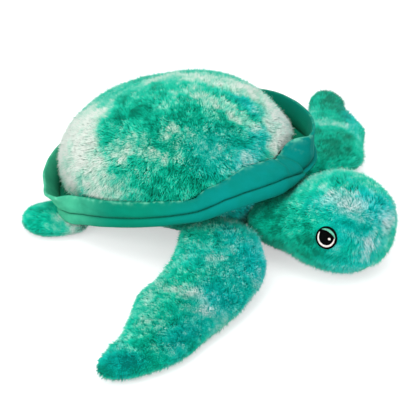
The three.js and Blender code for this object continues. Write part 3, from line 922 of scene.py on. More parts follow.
def pile_tree(habit: PileHabit = PileHabit()) -> Tree:
    """Builds the tree that stands tapered, bent strands all over a skin.

    Args:
        habit: how the strands fall.

    Returns:
        The tree.
    """
    sizes = ("Spacing", "Density", "Length", "Width", "Bend", "Clump", "Stray", "Tufts", "Gather", "Shortest")
    inputs = {"Geometry": "Geometry", **{name: "Float" for name in sizes}, "Comb": "Vector", "Rings": "Int",
              "Seed": "Int", "Material": "Material"}
    graph, take, outlet = new_group("stand_pile", "GeometryNodeTree", inputs, {"Geometry": "Geometry"})
    seed, pile = take["Seed"], graph.named("pile", "FLOAT")
    spread = graph.node(
        "GeometryNodeDistributePointsOnFaces",
        {"Mesh": take["Geometry"], "Selection": graph.math("GREATER_THAN", pile, habit.bare),
         "Distance Min": take["Spacing"], "Density Max": take["Density"], "Seed": seed},
        distribute_method="POISSON",
    ).outputs
    place = graph.node("GeometryNodeInputPosition").outputs["Position"]
    normal = spread["Normal"]
    lean, middle = strand_lean(graph, take, place, normal, habit)
    heading = graph.vector("NORMALIZE", graph.total(normal, lean))
    drop = graph.math("MAXIMUM", graph.times(graph.parts(heading)["Z"], -1.0), habit.least_drop)
    height = graph.minus(graph.parts(place)["Z"], habit.clearance * MM)
    patchy = graph.plus(habit.edge_height, graph.times(middle, habit.middle_height))
    length = graph.times(graph.times(take["Length"], pile), patchy)
    length = graph.times(length, graph.random(take["Shortest"], habit.longest, seed, habit.length_draw))
    length = graph.math("MINIMUM", length, graph.math("DIVIDE", height, drop))
    yaw = graph.node("FunctionNodeAxisAngleToRotation",
                     {"Axis": (0, 0, 1), "Angle": graph.random(-habit.yaw, habit.yaw, seed, habit.yaw_draw)})
    values = {"Rotation": turned_to(graph, "Z", heading, "X", lean), "Rotate By": yaw.outputs[0]}
    turned = graph.node("FunctionNodeRotateRotation", values, rotation_space="LOCAL").outputs[0]
    girth = graph.random(*habit.girths, seed, habit.girth_draw)
    values = {"X": girth, "Y": girth, "Z": graph.math("DIVIDE", length, take["Length"])}
    scale = graph.node("ShaderNodeCombineXYZ", values).outputs[0]
    odd = graph.random(0.0, habit.odd_paler, seed, habit.tuft_draw)
    paler = graph.plus(graph.times(middle, habit.middle_paler), odd)
    stand = graph.vector("NORMALIZE", graph.total(normal, graph.scaled(lean, habit.stand_lean)))
    marked = graph.stored(spread["Points"], "tuft", "FLOAT", paler)
    marked = graph.stored(marked, "stand", "FLOAT_VECTOR", stand)
    stood = graph.node(
        "GeometryNodeInstanceOnPoints",
        {"Points": marked, "Selection": graph.math("GREATER_THAN", length, habit.least_length * MM),
         "Instance": strand_form(graph, take, habit), "Rotation": turned, "Scale": scale},
    ).outputs[0]
    bare = graph.node("GeometryNodeRemoveAttribute", {"Geometry": stood, "Name": "pile"}).outputs[0]
    graph.feed(outlet["Geometry"], dressed(graph, bare, take["Material"]))
    return Tree(graph.tree)


def thread_tree() -> Tree:
    """Builds the tree that lays one rounded stitch on each point, along its stored run.

    Returns:
        The tree.
    """
    inputs = {"Geometry": "Geometry", "Width": "Float", "Height": "Float", "Material": "Material"}
    graph, take, outlet = new_group("lay_threads", "GeometryNodeTree", inputs, {"Geometry": "Geometry"})
    run, lift = (graph.named(name, "FLOAT_VECTOR") for name in ("run", "lift"))
    bead = graph.node("GeometryNodeMeshUVSphere", {"Segments": 6, "Rings": 5, "Radius": 0.5}).outputs["Mesh"]
    values = {"X": graph.vector("LENGTH", run), "Y": take["Width"], "Z": take["Height"]}
    scale = graph.node("ShaderNodeCombineXYZ", values).outputs[0]
    values = {"Points": take["Geometry"], "Instance": bead, "Rotation": turned_to(graph, "X", run, "Z", lift),
              "Scale": scale}
    laid = graph.node("GeometryNodeInstanceOnPoints", values).outputs[0]
    graph.feed(outlet["Geometry"], dressed(graph, laid, take["Material"]))
    return Tree(graph.tree)


@dataclass(frozen=True)
class Stitch:
    """One laid stitch, from its start to its end, with the way that it stands up."""

    start: Vector
    end: Vector
    lift: Vector


def stitch_points(name: str, stitches: Sequence[Stitch]) -> bpy.types.Mesh:
    """Makes the loose points that the thread tree works on.

    Args:
        name: the mesh's name.
        stitches: the stitches.

    Returns:
        A mesh with a point at the middle of each.
    """
    mesh = bpy.data.meshes.new(name)
    mesh.from_pydata([tuple((s.start + s.end) / 2) for s in stitches], [], [])
    set_vectors(mesh, "run", np.array([tuple(s.end - s.start) for s in stitches]))
    set_vectors(mesh, "lift", np.array([tuple(s.lift) for s in stitches]))
    return mesh


@dataclass(frozen=True)
class Coat:
    """One coat of pile: how long, how wide and how close its strands stand, in millimetres."""

    label: str
    length: float
    width: float
    spacing: float
    bend: float
    rings: int
    clump: float = 0.55
    stray: float = 0.28
    tuft: float = 5.5
    gather: float = 0.16
    shortest: float = 0.85
    shades: bool = True


@dataclass(frozen=True)
class Dent:
    """A soft hollow in a stuffed form, in millimetres."""

    centre: Place
    radius: float
    depth: float


def long_coat(length: float, width: float, spacing: float, bend: float) -> Coat:
    """A long, loose coat, the one that shows."""
    return Coat("long_pile", length, width, spacing, bend, 2, stray=0.42, tuft=4.4, gather=0.2, shortest=0.7)


def under_coat(label: str, length: float, width: float, spacing: float) -> Coat:
    """A short, straight coat, which lets the light through."""
    return Coat(label, length, width, spacing, 0.0, 1, shades=False)


# Stuffed forms


CLOTH_STEPS = 20
CLOTH_SETTINGS = {
    "quality": 4, "mass": 0.2, "tension_stiffness": 12, "compression_stiffness": 12, "bending_stiffness": 0.4,
    "use_pressure": True, "uniform_pressure_force": 4.0, "vertex_group_mass": "held",
}
FLOOR_CLEARANCE = 1.2


class Swelling(Enum):
    """How a form gets its stuffed look."""

    SIMULATED = "cloth under pressure, held at its seams"
    SMOOTHED = "smoothed only, where it lies flat"


@dataclass
class StuffedForm:
    """A plush skin over stuffing, with its pile, made round the CAD nodes that it replaces."""

    name: str
    body: str
    nodes: tuple[str, ...]
    slot: str
    finish: PlushFinish
    coats: tuple[Coat, ...]
    comb: Place
    panels: tuple[str, ...] = ()
    hulled: bool = False
    voxel: float = 4.0
    inset: float = 4.0
    swell: float = 2.4
    way: Swelling = Swelling.SIMULATED
    fill: float = 0.8
    rounds_before: int = 6
    rounds_after: int = 3
    seam_run: tuple[float, float] = (3.0, 9.0)
    least_hold: float = 0.02
    lump_scale: float = 38.0
    lump_height: float = 0.8
    seam_shorter: float = 0.35
    packing: float = 1.3
    bridge: tuple[str, Place, Place] | None = None
    dents: tuple[Dent, ...] = ()
    cover: Callable[[np.ndarray, np.ndarray], np.ndarray] | None = None
    reshape: Callable[[np.ndarray], np.ndarray] | None = None
    helper: bpy.types.Object | None = field(default=None, repr=False)
    start: np.ndarray | None = field(default=None, repr=False)

    def solid(self) -> bpy.types.Mesh:
        """Joins copies of the CAD nodes into one mesh, as their hull where the form is round.

        Returns:
            The joined mesh.
        """
        work = bmesh.new()
        for name in self.nodes:
            if self.hulled and name.endswith("stuffing"):
                continue
            work.from_mesh(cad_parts[name].data)
        bmesh.ops.remove_doubles(work, verts=work.verts, dist=0.01 * MM)
        if self.hulled:
            found = bmesh.ops.convex_hull(work, input=work.verts)
            spare = found["geom_interior"] + found["geom_unused"]
            loose = {v for v in spare if isinstance(v, bmesh.types.BMVert)}
            bmesh.ops.delete(work, geom=list(loose), context="VERTS")
            outer = set(found["geom"])
            inner = [f for f in work.faces if f not in outer]
            bmesh.ops.delete(work, geom=inner, context="FACES_ONLY")
        mesh = bpy.data.meshes.new(self.name)
        work.to_mesh(mesh)
        work.free()
        return mesh

    def blank(self) -> None:
        """Makes the start of the form: an even mesh of its solid, smoothed and drawn in."""
        rough = link_object(f"{self.name}_rough", self.solid())
        remesh = rough.modifiers.new("even", "REMESH")
        remesh.mode = "VOXEL"
        remesh.voxel_size = self.voxel * MM
        mesh = largest_part(evaluated(rough))
        discard(rough)
        smooth_out(mesh, self.rounds_before)
        set_places(mesh, places_of(mesh) - normals_of(mesh) * self.inset * MM)
        smooth_out(mesh, self.rounds_after)
        if self.reshape:
            set_places(mesh, self.reshape(places_of(mesh) / MM) * MM)
        self.start = places_of(mesh)
        self.helper = link_object(f"{self.name}_blank", mesh)
        if self.way is Swelling.SIMULATED:
            self.add_cloth()

    def seam_share(self, places: np.ndarray) -> np.ndarray:
        """Tells how near each place is to a seam between two panels, from 0 to 1.

        Args:
            places: rows in metres.

        Returns:
            A share for each row.
        """
        if not self.panels:
            return np.zeros(len(places))
        far = []
        for name in self.panels:
            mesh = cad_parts[name].data
            tree = BVHTree.FromPolygons([v.co for v in mesh.vertices], [p.vertices for p in mesh.polygons])
            far.append([tree.find_nearest(Vector(p))[3] for p in places])
        second = np.sort(np.array(far), axis=0)[1]
        return 1 - smoothstep(second, *(far * MM for far in self.seam_run))

    def add_cloth(self) -> None:
        """Sets cloth under pressure on the blank, held along its seams."""
        group = self.helper.vertex_groups.new(name="held")
        for index, share in enumerate(self.seam_share(self.start)):
            if share > self.least_hold:
                group.add([index], float(share), "REPLACE")
        cloth = self.helper.modifiers.new("cloth", "CLOTH")
        for name, value in CLOTH_SETTINGS.items():
            setattr(cloth.settings, name, value)
        cloth.settings.effector_weights.gravity = 0.0
        cloth.point_cache.frame_start, cloth.point_cache.frame_end = 1, CLOTH_STEPS

    def settle(self) -> bpy.types.Object:
        """Reads the swollen form, limits how far it moved, rounds it and adds its dents.

        Returns:
            The plush skin.
        """
        mesh = evaluated(self.helper) if self.helper.modifiers else self.helper.data.copy()
        normals = normals_of(self.helper.data)
        if self.helper.modifiers:
            moved = places_of(mesh) - self.start
            swell = np.clip((moved * normals).sum(1), 0, self.swell * MM)
        else:
            swell = (1 - self.seam_share(self.start)) * self.swell * MM * (self.way is Swelling.SIMULATED)
        lumps = np.array([noise.noise(Vector(p) * self.lump_scale) for p in self.start])
        lumps = lumps * self.lump_height * MM
        places = self.start + normals * (swell + lumps)[:, None]
        for dent in self.dents:
            away = np.linalg.norm(places - np.array(dent.centre) * MM, axis=1) / (dent.radius * MM)
            places -= normals * (dent.depth * MM * hill(away, 0.0, 1.0))[:, None]
        set_places(mesh, places)
        for modifier in list(self.helper.modifiers):
            self.helper.modifiers.remove(modifier)
        discard(self.helper)
        skin = link_object(f"{self.name}_plush", mesh)
        rounded = skin.modifiers.new("round", "SUBSURF")
        rounded.levels = rounded.render_levels = 1
        finer = evaluated(skin)
        skin.modifiers.remove(rounded)
        skin.data = finer
        skin.vertex_groups.clear()
        finer.polygons.foreach_set("use_smooth", [True] * len(finer.polygons))
        keep_over_floor(finer)
        return skin

    def grown(self, tree: Tree, skin: bpy.types.Mesh, coat: Coat, material: bpy.types.Material,
              seed: int) -> bpy.types.Object:
        """Grows one coat of pile on the skin.

        Args:
            tree: the pile tree.
            skin: the mesh that it stands on.
            coat: its sizes.
            material: the dyed plush.
            seed: where its random draws start.

        Returns:
            The coat.
        """
        values = {
            "Spacing": coat.spacing * MM, "Density": self.packing / (coat.spacing * MM) ** 2,
            "Length": coat.length * MM, "Width": coat.width / 2 * MM, "Bend": coat.bend * MM,
            "Tufts": 1 / (coat.tuft * MM), "Clump": coat.clump, "Stray": coat.stray, "Gather": coat.gather,
            "Shortest": coat.shortest, "Comb": self.comb, "Rings": coat.rings, "Seed": seed,
            "Material": material,
        }
        made = tree.grow(f"{self.name}_{coat.label}", skin, values)
        made.visible_shadow = coat.shades
        return made

    def dress(self, tree: Tree, seed: int) -> None:
        """Gives the form its material and its pile, and ties it to its body, or, for a form with a bridge,
        only bakes its place into its points.

        Args:
            tree: the pile tree.
            seed: where its random draws start.
        """
        skin = self.settle()
        places = places_of(skin.data)
        pile = 1 - self.seam_shorter * self.seam_share(places)
        if self.cover:
            pile = pile * self.cover(places, normals_of(skin.data))
        set_share(skin.data, "pile", pile)
        material = self.finish.material()
        skin.data.materials.clear()
        skin.data.materials.append(material)
        parts = [skin]
        for count, coat in enumerate(self.coats):
            parts.append(self.grown(tree, skin.data, coat, material, seed + 17 * count))
        # The bare skin between the strands takes a low way, so that it gets the same painted root shade as the
        # strands.
        for name, value in (("way", 0.22), ("tuft", 0.5)):
            set_share(skin.data, name, np.full(len(skin.data.vertices), value))
        set_vectors(skin.data, "stand", normals_of(skin.data))
        for part in parts:
            if self.bridge:
                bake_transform(part)
            else:
                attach(part, self.body)
            tell(part)
        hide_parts(*self.nodes)


def keep_over_floor(mesh: bpy.types.Mesh) -> None:
    """Lifts the points that lie under the ground's skin clearance."""
    places = places_of(mesh)
    places[:, 2] = np.maximum(places[:, 2], FLOOR_CLEARANCE * MM)
    set_places(mesh, places)


# The rim


@dataclass(frozen=True)
class RimShape:
    """The oval that the rim follows in the shell's slanting seam plane, in millimetres."""

    half_length: float = 115.0
    half_width: float = 98.0
    setback: float = 9.0
    fullness: float = 2.15
    pitch_degrees: float = 15.0
    thickness: float = 4.0
    front_trough: float = 15.0
    side_room: float = 0.9
    rim_fullness: float = 2.25
    rear_height: float = 11.4
    band_drop: float = 9.5
    seam_gap: float = 0.3
    belly_length: float = 100.0
    belly_width: float = 74.0
    belly_fullness: float = 2.9

    @property
    def pitch(self) -> float:
        """The seam plane's slant in radians."""
        return math.radians(self.pitch_degrees)

    @property
    def plane_height(self) -> float:
        """How high the seam plane crosses the toy's middle."""
        run = self.half_length + self.setback + self.seam_gap + self.thickness
        return self.rear_height + self.band_drop * math.cos(self.pitch) + run * math.sin(self.pitch)

    def place(self, x: float, y: float, up: float) -> Place:
        """Places a point of the seam plane, with its height over it, in metres."""
        along = x * math.cos(self.pitch) - up * math.sin(self.pitch)
        high = x * math.sin(self.pitch) + up * math.cos(self.pitch)
        return (along * MM, y * MM, (self.plane_height + high) * MM)

    def unplaced(self, places: np.ndarray) -> tuple[np.ndarray, np.ndarray, np.ndarray]:
        """Gives the plane coordinates and the height over the plane of places in metres.

        Args:
            places: rows in metres.

        Returns:
            Along, across and up in millimetres.
        """
        x, z = places[:, 0] / MM, places[:, 2] / MM - self.plane_height
        along = x * math.cos(self.pitch) + z * math.sin(self.pitch)
        up = -x * math.sin(self.pitch) + z * math.cos(self.pitch)
        return along, places[:, 1] / MM, up

    @staticmethod
    def oval(half_length: float, half_width: float, fullness: float, angle: float) -> tuple[float, float]:
        """A point of an oval outline."""
        c, s = math.cos(angle), math.sin(angle)
        x, y = (math.copysign(abs(part) ** (2 / fullness), part) for part in (c, s))
        return half_length * x, half_width * y

    def outline(self, angle: float, outset: float = 0.0) -> tuple[float, float]:
        """The rim's outer outline at an angle.

        Args:
            angle: in radians.
            outset: how far outside it, in millimetres.

        Returns:
            Along and across.
        """
        front = self.half_length - self.setback + self.front_trough + self.thickness
        rear = self.half_length + self.setback + self.seam_gap + self.thickness
        wide = self.half_width + self.side_room + self.thickness + outset
        x, y = self.oval((front + rear) / 2 + outset, wide, self.rim_fullness, angle)
        return x + (front - rear) / 2, y

    def outward(self, angle: float) -> tuple[float, float]:
        """The direction straight out of the rim at an angle.

        Args:
            angle: in radians.

        Returns:
            Along and across, one long.
        """
        step = 0.03
        ahead, behind = self.outline(angle + step), self.outline(angle - step)
        along = Vector((ahead[0] - behind[0], ahead[1] - behind[1])).normalized()
        return along.y, -along.x


@dataclass(frozen=True)
class Around:
    """A size that changes round the rim, read between the angles where it is known."""

    degrees: tuple[float, ...]
    sizes: tuple[float, ...]

    def at(self, degrees: float) -> float:
        """Reads the size at an angle."""
        return float(np.interp(degrees % 360, self.degrees, self.sizes, period=360))


def late(degrees: float) -> float:
    """Counts an angle from the toy's rear on, so that the front lies at 360 degrees."""
    return degrees if degrees > 180 else degrees + 360


@dataclass(frozen=True)
class Creasing:
    """Small folds of the collar: their depth in millimetres and how fast they change round it and up it."""

    depth: float
    along: float
    upward: float


CREASES = Creasing(0.4, 9, 0.12)
UPRIGHT_FOLDS = Creasing(0.5, 18, 0.03)
SLANTING_DEPTH = 1.5
BAND_SECTION = (
    (-3.4, -0.3), (-1.2, -0.5), (0.1, -1.0), (1.1, -2.0), (1.8, -3.6), (2.0, -5.4), (1.5, -7.2), (0.3, -8.7),
    (-1.8, -9.5), (-5.0, -9.3),
)
BAND_INSIDE = ((0.5, -7.0), (1.0, -6.0), (1.0, -0.3), (0.5, -0.3))


@dataclass
class Rim:
    """The suede rim: a standing collar that leans in or flares out, and the band under it."""

    shape: RimShape
    lean_height: Around = Around(
        (245, 255, 265, 275, 285, 295, 299, 302, 306, 312, 320, 330, 340, 350, 360),
        (15.5, 15, 14, 12.8, 12.2, 11.5, 12.2, 14.8, 16.5, 18, 21.5, 24.5, 23.5, 20.5, 20.5),
    )
    flare_height: float = 21.5
    collar_width: float = 4.2
    collar_steps: int = 12
    foot_height: float = 0.35
    fold_thickness: float = 0.74
    foot_pinch: float = 0.6
    crown_rise: float = 0.8
    crown_steps: int = 6
    fine_runs: tuple[tuple[float, float], ...] = ((0, 9), (229, 240), (295, 306), (350, 360))
    fine_step: float = 0.18
    broad_step: float = 0.6
    step_degrees: float = 299.5
    lean_start: float = 245.0
    lean_end: float = 359.5
    flip: float = 7.0
    lean_shares: tuple[float, float] = (0.35, 1.7)
    lean_room: float = 3.0
    most_reach: float = 0.75
    flare_slants: tuple[float, float] = (15.0, 33.0)
    pocket_slant: float = 4.0
    pocket_shift: float = 3.0
    pocket_spread: float = 5.0
    pocket_shares: tuple[float, float] = (0.6, 1.2)
    wave_count: float = 5.0
    wave_shares: tuple[float, float, float] = (0.5, 1.6, 2.6)
    pleat_depth: float = 3.0
    pleat_run: tuple[float, float] = (325.0, 352.0)
    pleat_edge: float = 0.3
    panel_start: float = 352.5
    panel_reach: float = 7.8
    panel_middle: float = 1.0
    panel_half: float = 14.5
    ridge_degrees: float = 362.8
    ridge_height: float = 12.5
    ridge_slope: float = 2.4
    skirt_height: float = 22.0
    tuck_height: float = 18.0
    fold_height: float = 16.0
    least_height: float = 0.3
    top_run: tuple[float, float] = (297.0, 306.0)
    lit_loss: float = 0.45
    lit_run: tuple[float, float] = (3.0, 20.0)
    band_gap: float = 0.4
    band_wave: float = 0.5
    band_pleat: float = 0.8
    band_pleat_top: float = -0.4
    sag: Around = Around(
        (20, 50, 62, 80, 95, 130, 190, 208, 225, 240, 255, 285, 299, 303, 312, 322, 333, 344, 352, 360),
        (-2.0, 0.8, 2.6, 2.8, 0.8, 0, -1, -4, -5.5, -5.5, -4.5, -3.5, -3.0, -1.5, 2.5, 3.2, 1.0, -2, -4.5, -5),
    )
    drop: Around = Around(
        (0, 4, 9, 14, 20, 30, 140, 200, 225, 240, 250, 262, 280, 290, 305, 320, 343, 352, 356),
        (4.5, 4, 4.2, 5.4, 7.4, 9.5, 9.5, 10, 11.5, 12, 11.2, 10.2, 9.4, 8.8, 11, 13, 13.5, 10, 7),
    )
    bulge: Around = Around(
        (0, 10, 18, 30, 42, 55, 68, 80, 100, 172, 190, 203, 212, 221, 230, 238, 247, 300, 330, 350, 360),
        (3, 6, 4.5, 1.5, -0.8, 0, 1.5, 1.8, 0.8, 0, -2.6, -2, -1.2, 0.5, 5.5, 4.5, 0.5, 0, 0.5, 2.5, 3),
    )
    tuck: Around = Around(
        (0, 4, 9, 14, 20, 28, 347, 353, 357),
        (7.5, 8, 7.5, 5.5, 3, 0, 0, 2.5, 5.5),
    )
    skirt: Around = Around(
        (0, 4, 8, 12, 18, 26, 34, 352, 356),
        (2.5, 4.2, 4.6, 4.4, 3.2, 1.5, 0, 0, 1.0),
    )

    def angles(self) -> list[float]:
        """The angles of the swept sections in degrees, closer together at the folds.

        Returns:
            The angles in order.
        """
        made, degrees = [], 0.0
        while degrees < 360:
            made.append(degrees)
            fine = any(low <= degrees <= high for low, high in self.fine_runs)
            degrees += self.fine_step if fine else self.broad_step
        return made

    def flare_share(self, degrees: float) -> float:
        """How far the collar stands out at an angle: 0 leans in, 1 flares out.

        Args:
            degrees: the angle.

        Returns:
            The share, from 0 to 1.
        """
        turned = degrees + 360 if degrees < 90 else degrees
        if turned > 300:
            return rising(turned, self.lean_end, self.lean_end + self.flip)
        return 1 - rising(turned, self.lean_start - self.flip, self.lean_start)

    def gap(self, degrees: float) -> float:
        """How far the dome's foot lies inside the collar, in millimetres.

        Args:
            degrees: the angle.

        Returns:
            The distance.
        """
        x, y = self.shape.outline(math.radians(degrees))
        x += self.shape.setback
        power = self.shape.fullness
        along, across = abs(x / self.shape.half_length), abs(y / self.shape.half_width)
        ratio = (along ** power + across ** power) ** (1 / power)
        return math.hypot(x, y) * (1 - 1 / ratio) - self.shape.thickness

    def stance(self, degrees: float) -> tuple[float, float, float]:
        """The collar's height in millimetres and its slant at its foot and its top in degrees.

        Args:
            degrees: the angle.

        Returns:
            The height and the two slants.
        """
        flare, height = self.flare_share(degrees), self.lean_height.at(degrees)
        pocket = self.pocket_slant * hill(degrees, self.step_degrees + self.pocket_shift, self.pocket_spread)
        reach = min(self.most_reach, (max(self.gap(degrees), 0.0) + self.lean_room) / height)
        lean = -math.degrees(math.asin(reach))
        turn = math.radians(degrees)
        wave = noise.noise(Vector((math.cos(turn), math.sin(turn), 0.3)) * self.wave_count)
        sizes = [height + (self.flare_height - height) * flare]
        for share, over, flared in zip(self.lean_shares, self.pocket_shares, self.flare_slants):
            slant = lean * share + pocket * over
            sizes.append(slant + (flared - slant) * flare)
        high, foot, top = (size + share * wave for size, share in zip(sizes, self.wave_shares))
        return high, foot, top

    def crown(self, degrees: float) -> float:
        """How high over the seam plane the collar's fold stands, in millimetres."""
        return max(up for _, up, _, _ in self.collar_section(degrees))

    def collar_section(self, degrees: float) -> list[tuple[float, float, float, float]]:
        """Points of the collar's section at an angle: out, up, how near the fold and how far inside.

        Args:
            degrees: the angle.

        Returns:
            The points, from the outer foot over the fold.
        """
        height, low, high = self.stance(degrees)
        steps, half, slim = self.collar_steps, self.collar_width / 2, self.fold_thickness
        spine = [(-half, self.foot_height)]
        slants = [math.radians(low + (high - low) * (i + 0.5) / steps) for i in range(steps)]
        for slant in slants:
            out, up = spine[-1]
            spine.append((out + math.sin(slant) * height / steps, up + math.cos(slant) * height / steps))
        outer, inner, crown = [], [], []
        for i, (out, up) in enumerate(spine):
            slant = slants[min(i, steps - 1)]
            across, along = math.cos(slant), math.sin(slant)
            wide = half * (slim + (1 - slim) * math.sin(math.pi * min(1.0, i / steps * 1.5 + 0.1)))
            foot = 1 - self.foot_pinch * hill(i / steps, 0.0, 0.07)
            outer.append((out + across * wide * foot, up - along * wide * foot, (i / steps) ** 12, 0.0))
            inner.append((out - across * wide, up + along * wide, 0.0, 1.0))
        for i in range(1, self.crown_steps):
            turn = math.pi * i / self.crown_steps
            side, over = math.cos(turn) * half * slim, math.sin(turn) * half * self.crown_rise
            crown.append((out + across * side + along * over, up - along * side + across * over, 1.0,
                          i / self.crown_steps))
        return outer + crown + inner[::-1]

    def pleat(self, degrees: float, up: float) -> float:
        """How far the near panel's rounded end lies over the front part, in millimetres, at a height."""
        turned, edge = late(degrees), self.panel_end(up)
        over = 1 - rising(turned, edge - self.pleat_edge, edge + self.pleat_edge)
        return self.pleat_depth * over * rising(turned, *self.pleat_run)

    def panel_end(self, up: float) -> float:
        """The angle where the near panel's rounded end lies, at a height in millimetres."""
        share = (up - self.panel_middle) / self.panel_half
        return self.panel_start + self.panel_reach * math.sqrt(max(0.0, 1 - share ** 2))

    def crease_shade_share(self, degrees: float, up: float) -> float:
        """How near a place lies to the edge round the near panel's end, from 0 to 1, where painted shade
        darkens the overlap.
        """
        shift, spread, first, last = 0.25, 0.42, 353.0, 364.0
        turned = late(degrees)
        return hill(turned, self.panel_end(up) + shift, spread) * (first < turned < last)

    def ridge_share(self, degrees: float, up: float) -> float:
        """How near a place lies to the ridge beside the near panel's end, from 0 to 1: wear with a painted
        highlight on it.
        """
        worn_and_highlit, wide, thick = 0.7, 1.0, 1.1
        across = late(degrees) - self.ridge_degrees
        return worn_and_highlit * hill(across, 0.0, wide) * hill(up, self.ridge_height - self.ridge_slope * across, thick)

    def section_row(self, degrees: float, section: Sequence[Place]) -> list[Place]:
        """Places the points of a section.

        Args:
            degrees: the angle round the rim.
            section: how far out, how high, and how much of the rim's sag each point follows.

        Returns:
            The points in metres.
        """
        angle = math.radians(degrees)
        (x, y), (nx, ny) = self.shape.outline(angle), self.shape.outward(angle)
        sag, bulge, skirt, tuck = (size.at(degrees) for size in (self.sag, self.bulge, self.skirt, self.tuck))
        row = []
        for out, up, share in section:
            far = out + bulge + skirt * (1 - limited(up / self.skirt_height))
            px, py, pz = self.shape.place(x + nx * far, y + ny * far, up)
            lower = tuck * (1 - limited(up / self.tuck_height))
            row.append((px, py, pz + (sag * share - lower) * MM))
        return row

    @staticmethod
    def loose_share(degrees: float) -> float:
        """How loosely the collar hangs at an angle, where it creases."""
        tight = 0.25
        front = rising(degrees, 318, 336) * (1 - rising(degrees, 350, 357))
        return tight + (1 - tight) * max(front, hill(degrees, 246, 14))

    def relief(self, degrees: float, up: float) -> float:
        """How far the collar's creases and folds stand out at a place, in millimetres.

        Args:
            degrees: the angle.
            up: the height in millimetres.

        Returns:
            The distance.
        """
        angle = math.radians(degrees)
        c, s = math.cos(angle), math.sin(angle)
        crease, upright = (
            kind.depth * noise.noise(Vector((c * kind.along, s * kind.along, up * kind.upward)))
            for kind in (CREASES, UPRIGHT_FOLDS)
        )
        slant = Vector((degrees * 0.17 + up * 0.2, up * 0.06 - degrees * 0.02, 7.0))
        slanting = SLANTING_DEPTH * noise.noise(slant) * self.loose_share(degrees)
        return crease + (upright + slanting) * math.sin(math.pi * limited(up / self.fold_height))

    def make_collar(self, material: bpy.types.Material) -> None:
        """Sweeps the collar round the shell.

        Args:
            material: the suede.
        """
        rows, folds, insides, creases = [], [], [], []
        low, high = self.lit_run
        for degrees in self.angles():
            keeps_top = rising(degrees, *self.top_run) * (degrees < 350)
            section = []
            for out, up, fold, inside in self.collar_section(degrees):
                outer = 1 - inside
                out += (self.pleat(degrees, up) + self.relief(degrees, up)) * outer
                sags = 1 - keeps_top * min(1.0, up / self.tuck_height)
                section.append((out, max(up, self.least_height), sags))
                folds.append(max(fold, self.ridge_share(degrees, up) * outer))
                # Painted shade inside the collar, lighter towards its top.
                insides.append(inside * (1 - self.lit_loss * limited((up - low) / (high - low))))
                creases.append(self.crease_shade_share(degrees, up) * outer)
            rows.append(self.section_row(degrees, section))
        shares = {"fold": folds, "inside": insides, "crease": creases}
        self.finish("rim_collar", rows, shares, material, "shell_collar")

    def make_band(self, material: bpy.types.Material) -> None:
        """Sweeps the lower band round the shell.

        Args:
            material: the suede.
        """
        shape, rows, insides, creases = self.shape, [], [], []
        for degrees in self.angles():
            angle = math.radians(degrees)
            x, y = shape.outline(angle)
            long, wide = (size + self.band_gap for size in (shape.belly_length, shape.belly_width))
            inner = shape.oval(long, wide, shape.belly_fullness, angle)
            wave = self.band_wave * noise.noise(Vector((math.cos(angle) * 6, math.sin(angle) * 6, 2.0)))
            drop = self.drop.at(degrees) / shape.band_drop
            section = []
            for out, up in BAND_SECTION:
                pleat = self.pleat(degrees, up) * self.band_pleat if up < self.band_pleat_top else 0.0
                section.append((out + wave * (up < -1) + pleat, up * drop if up < -1 else up, 1.0))
            row = self.section_row(degrees, section)
            for share, up in BAND_INSIDE:
                px, py, pz = shape.place(x + (inner[0] - x) * share, y + (inner[1] - y) * share, up)
                row.append((px, py, pz + self.sag.at(degrees) * MM * (1 - share)))
            rows.append(row)
            # The band's top inner edge and the trough floor get the painted shade.
            insides.extend([1.0] + [0.0] * 11 + [1.0] * 2)
            creases.extend([self.crease_shade_share(degrees, up) for _, up, _ in section])
            creases.extend([0.0] * len(BAND_INSIDE))
        self.finish("rim_band", rows, {"inside": insides, "crease": creases}, material, "rim_lower_band")

    def finish(self, name: str, rows: list[list[Place]], shares: dict[str, list[float]],
               material: bpy.types.Material, node: str) -> None:
        """Turns swept rows into a piece in place of a CAD node.

        Args:
            name: the piece's name.
            rows: the points of each section in metres.
            shares: what its finish reads, by name, for each point.
            material: its suede.
            node: the CAD node.
        """
        points = np.array(rows)
        faces = ring_faces(len(rows), len(rows[0]), closed=True)
        made = link_object(name, mesh_from(name, points.reshape(-1, 3), faces))
        for label, values in shares.items():
            set_share(made.data, label, np.array(values))
        made.data.materials.append(material)
        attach(made, "body")
        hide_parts(node)
        tell(made)

    def make_stitches(self, tree: Tree, material: bpy.types.Material) -> None:
        """Lays the sewing of the seam groove between the collar and the band.

        Args:
            tree: the thread tree.
            material: the thread.
        """
        count, thread, groove = 250, 0.5 * MM, (-1.2, -0.05, 1.0)
        stitches = []
        for i in range(count):
            turns = [360 * (i + share) / count for share in (0.14, 0.86)]
            ends = [Vector(self.section_row(degrees, [groove])[0]) for degrees in turns]
            stitches.append(Stitch(*ends, Vector((*self.shape.outward(math.radians(turns[1])), 0))))
        values = {"Width": thread, "Height": thread, "Material": material}
        made = tree.grow("rim_seam_stitches", stitch_points("rim_seam_points", stitches), values)
        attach(made, "body")
        tell(made)


# The eyes


class Side(Enum):
    """The toy's own left and right."""

    LEFT = 1
    RIGHT = -1


EYE_LIFTS = {"ring": 0.02, "pupil": 0.1, "white": 0.2, "lid": 0.3, "lash": 0.42, "glint": 0.5}


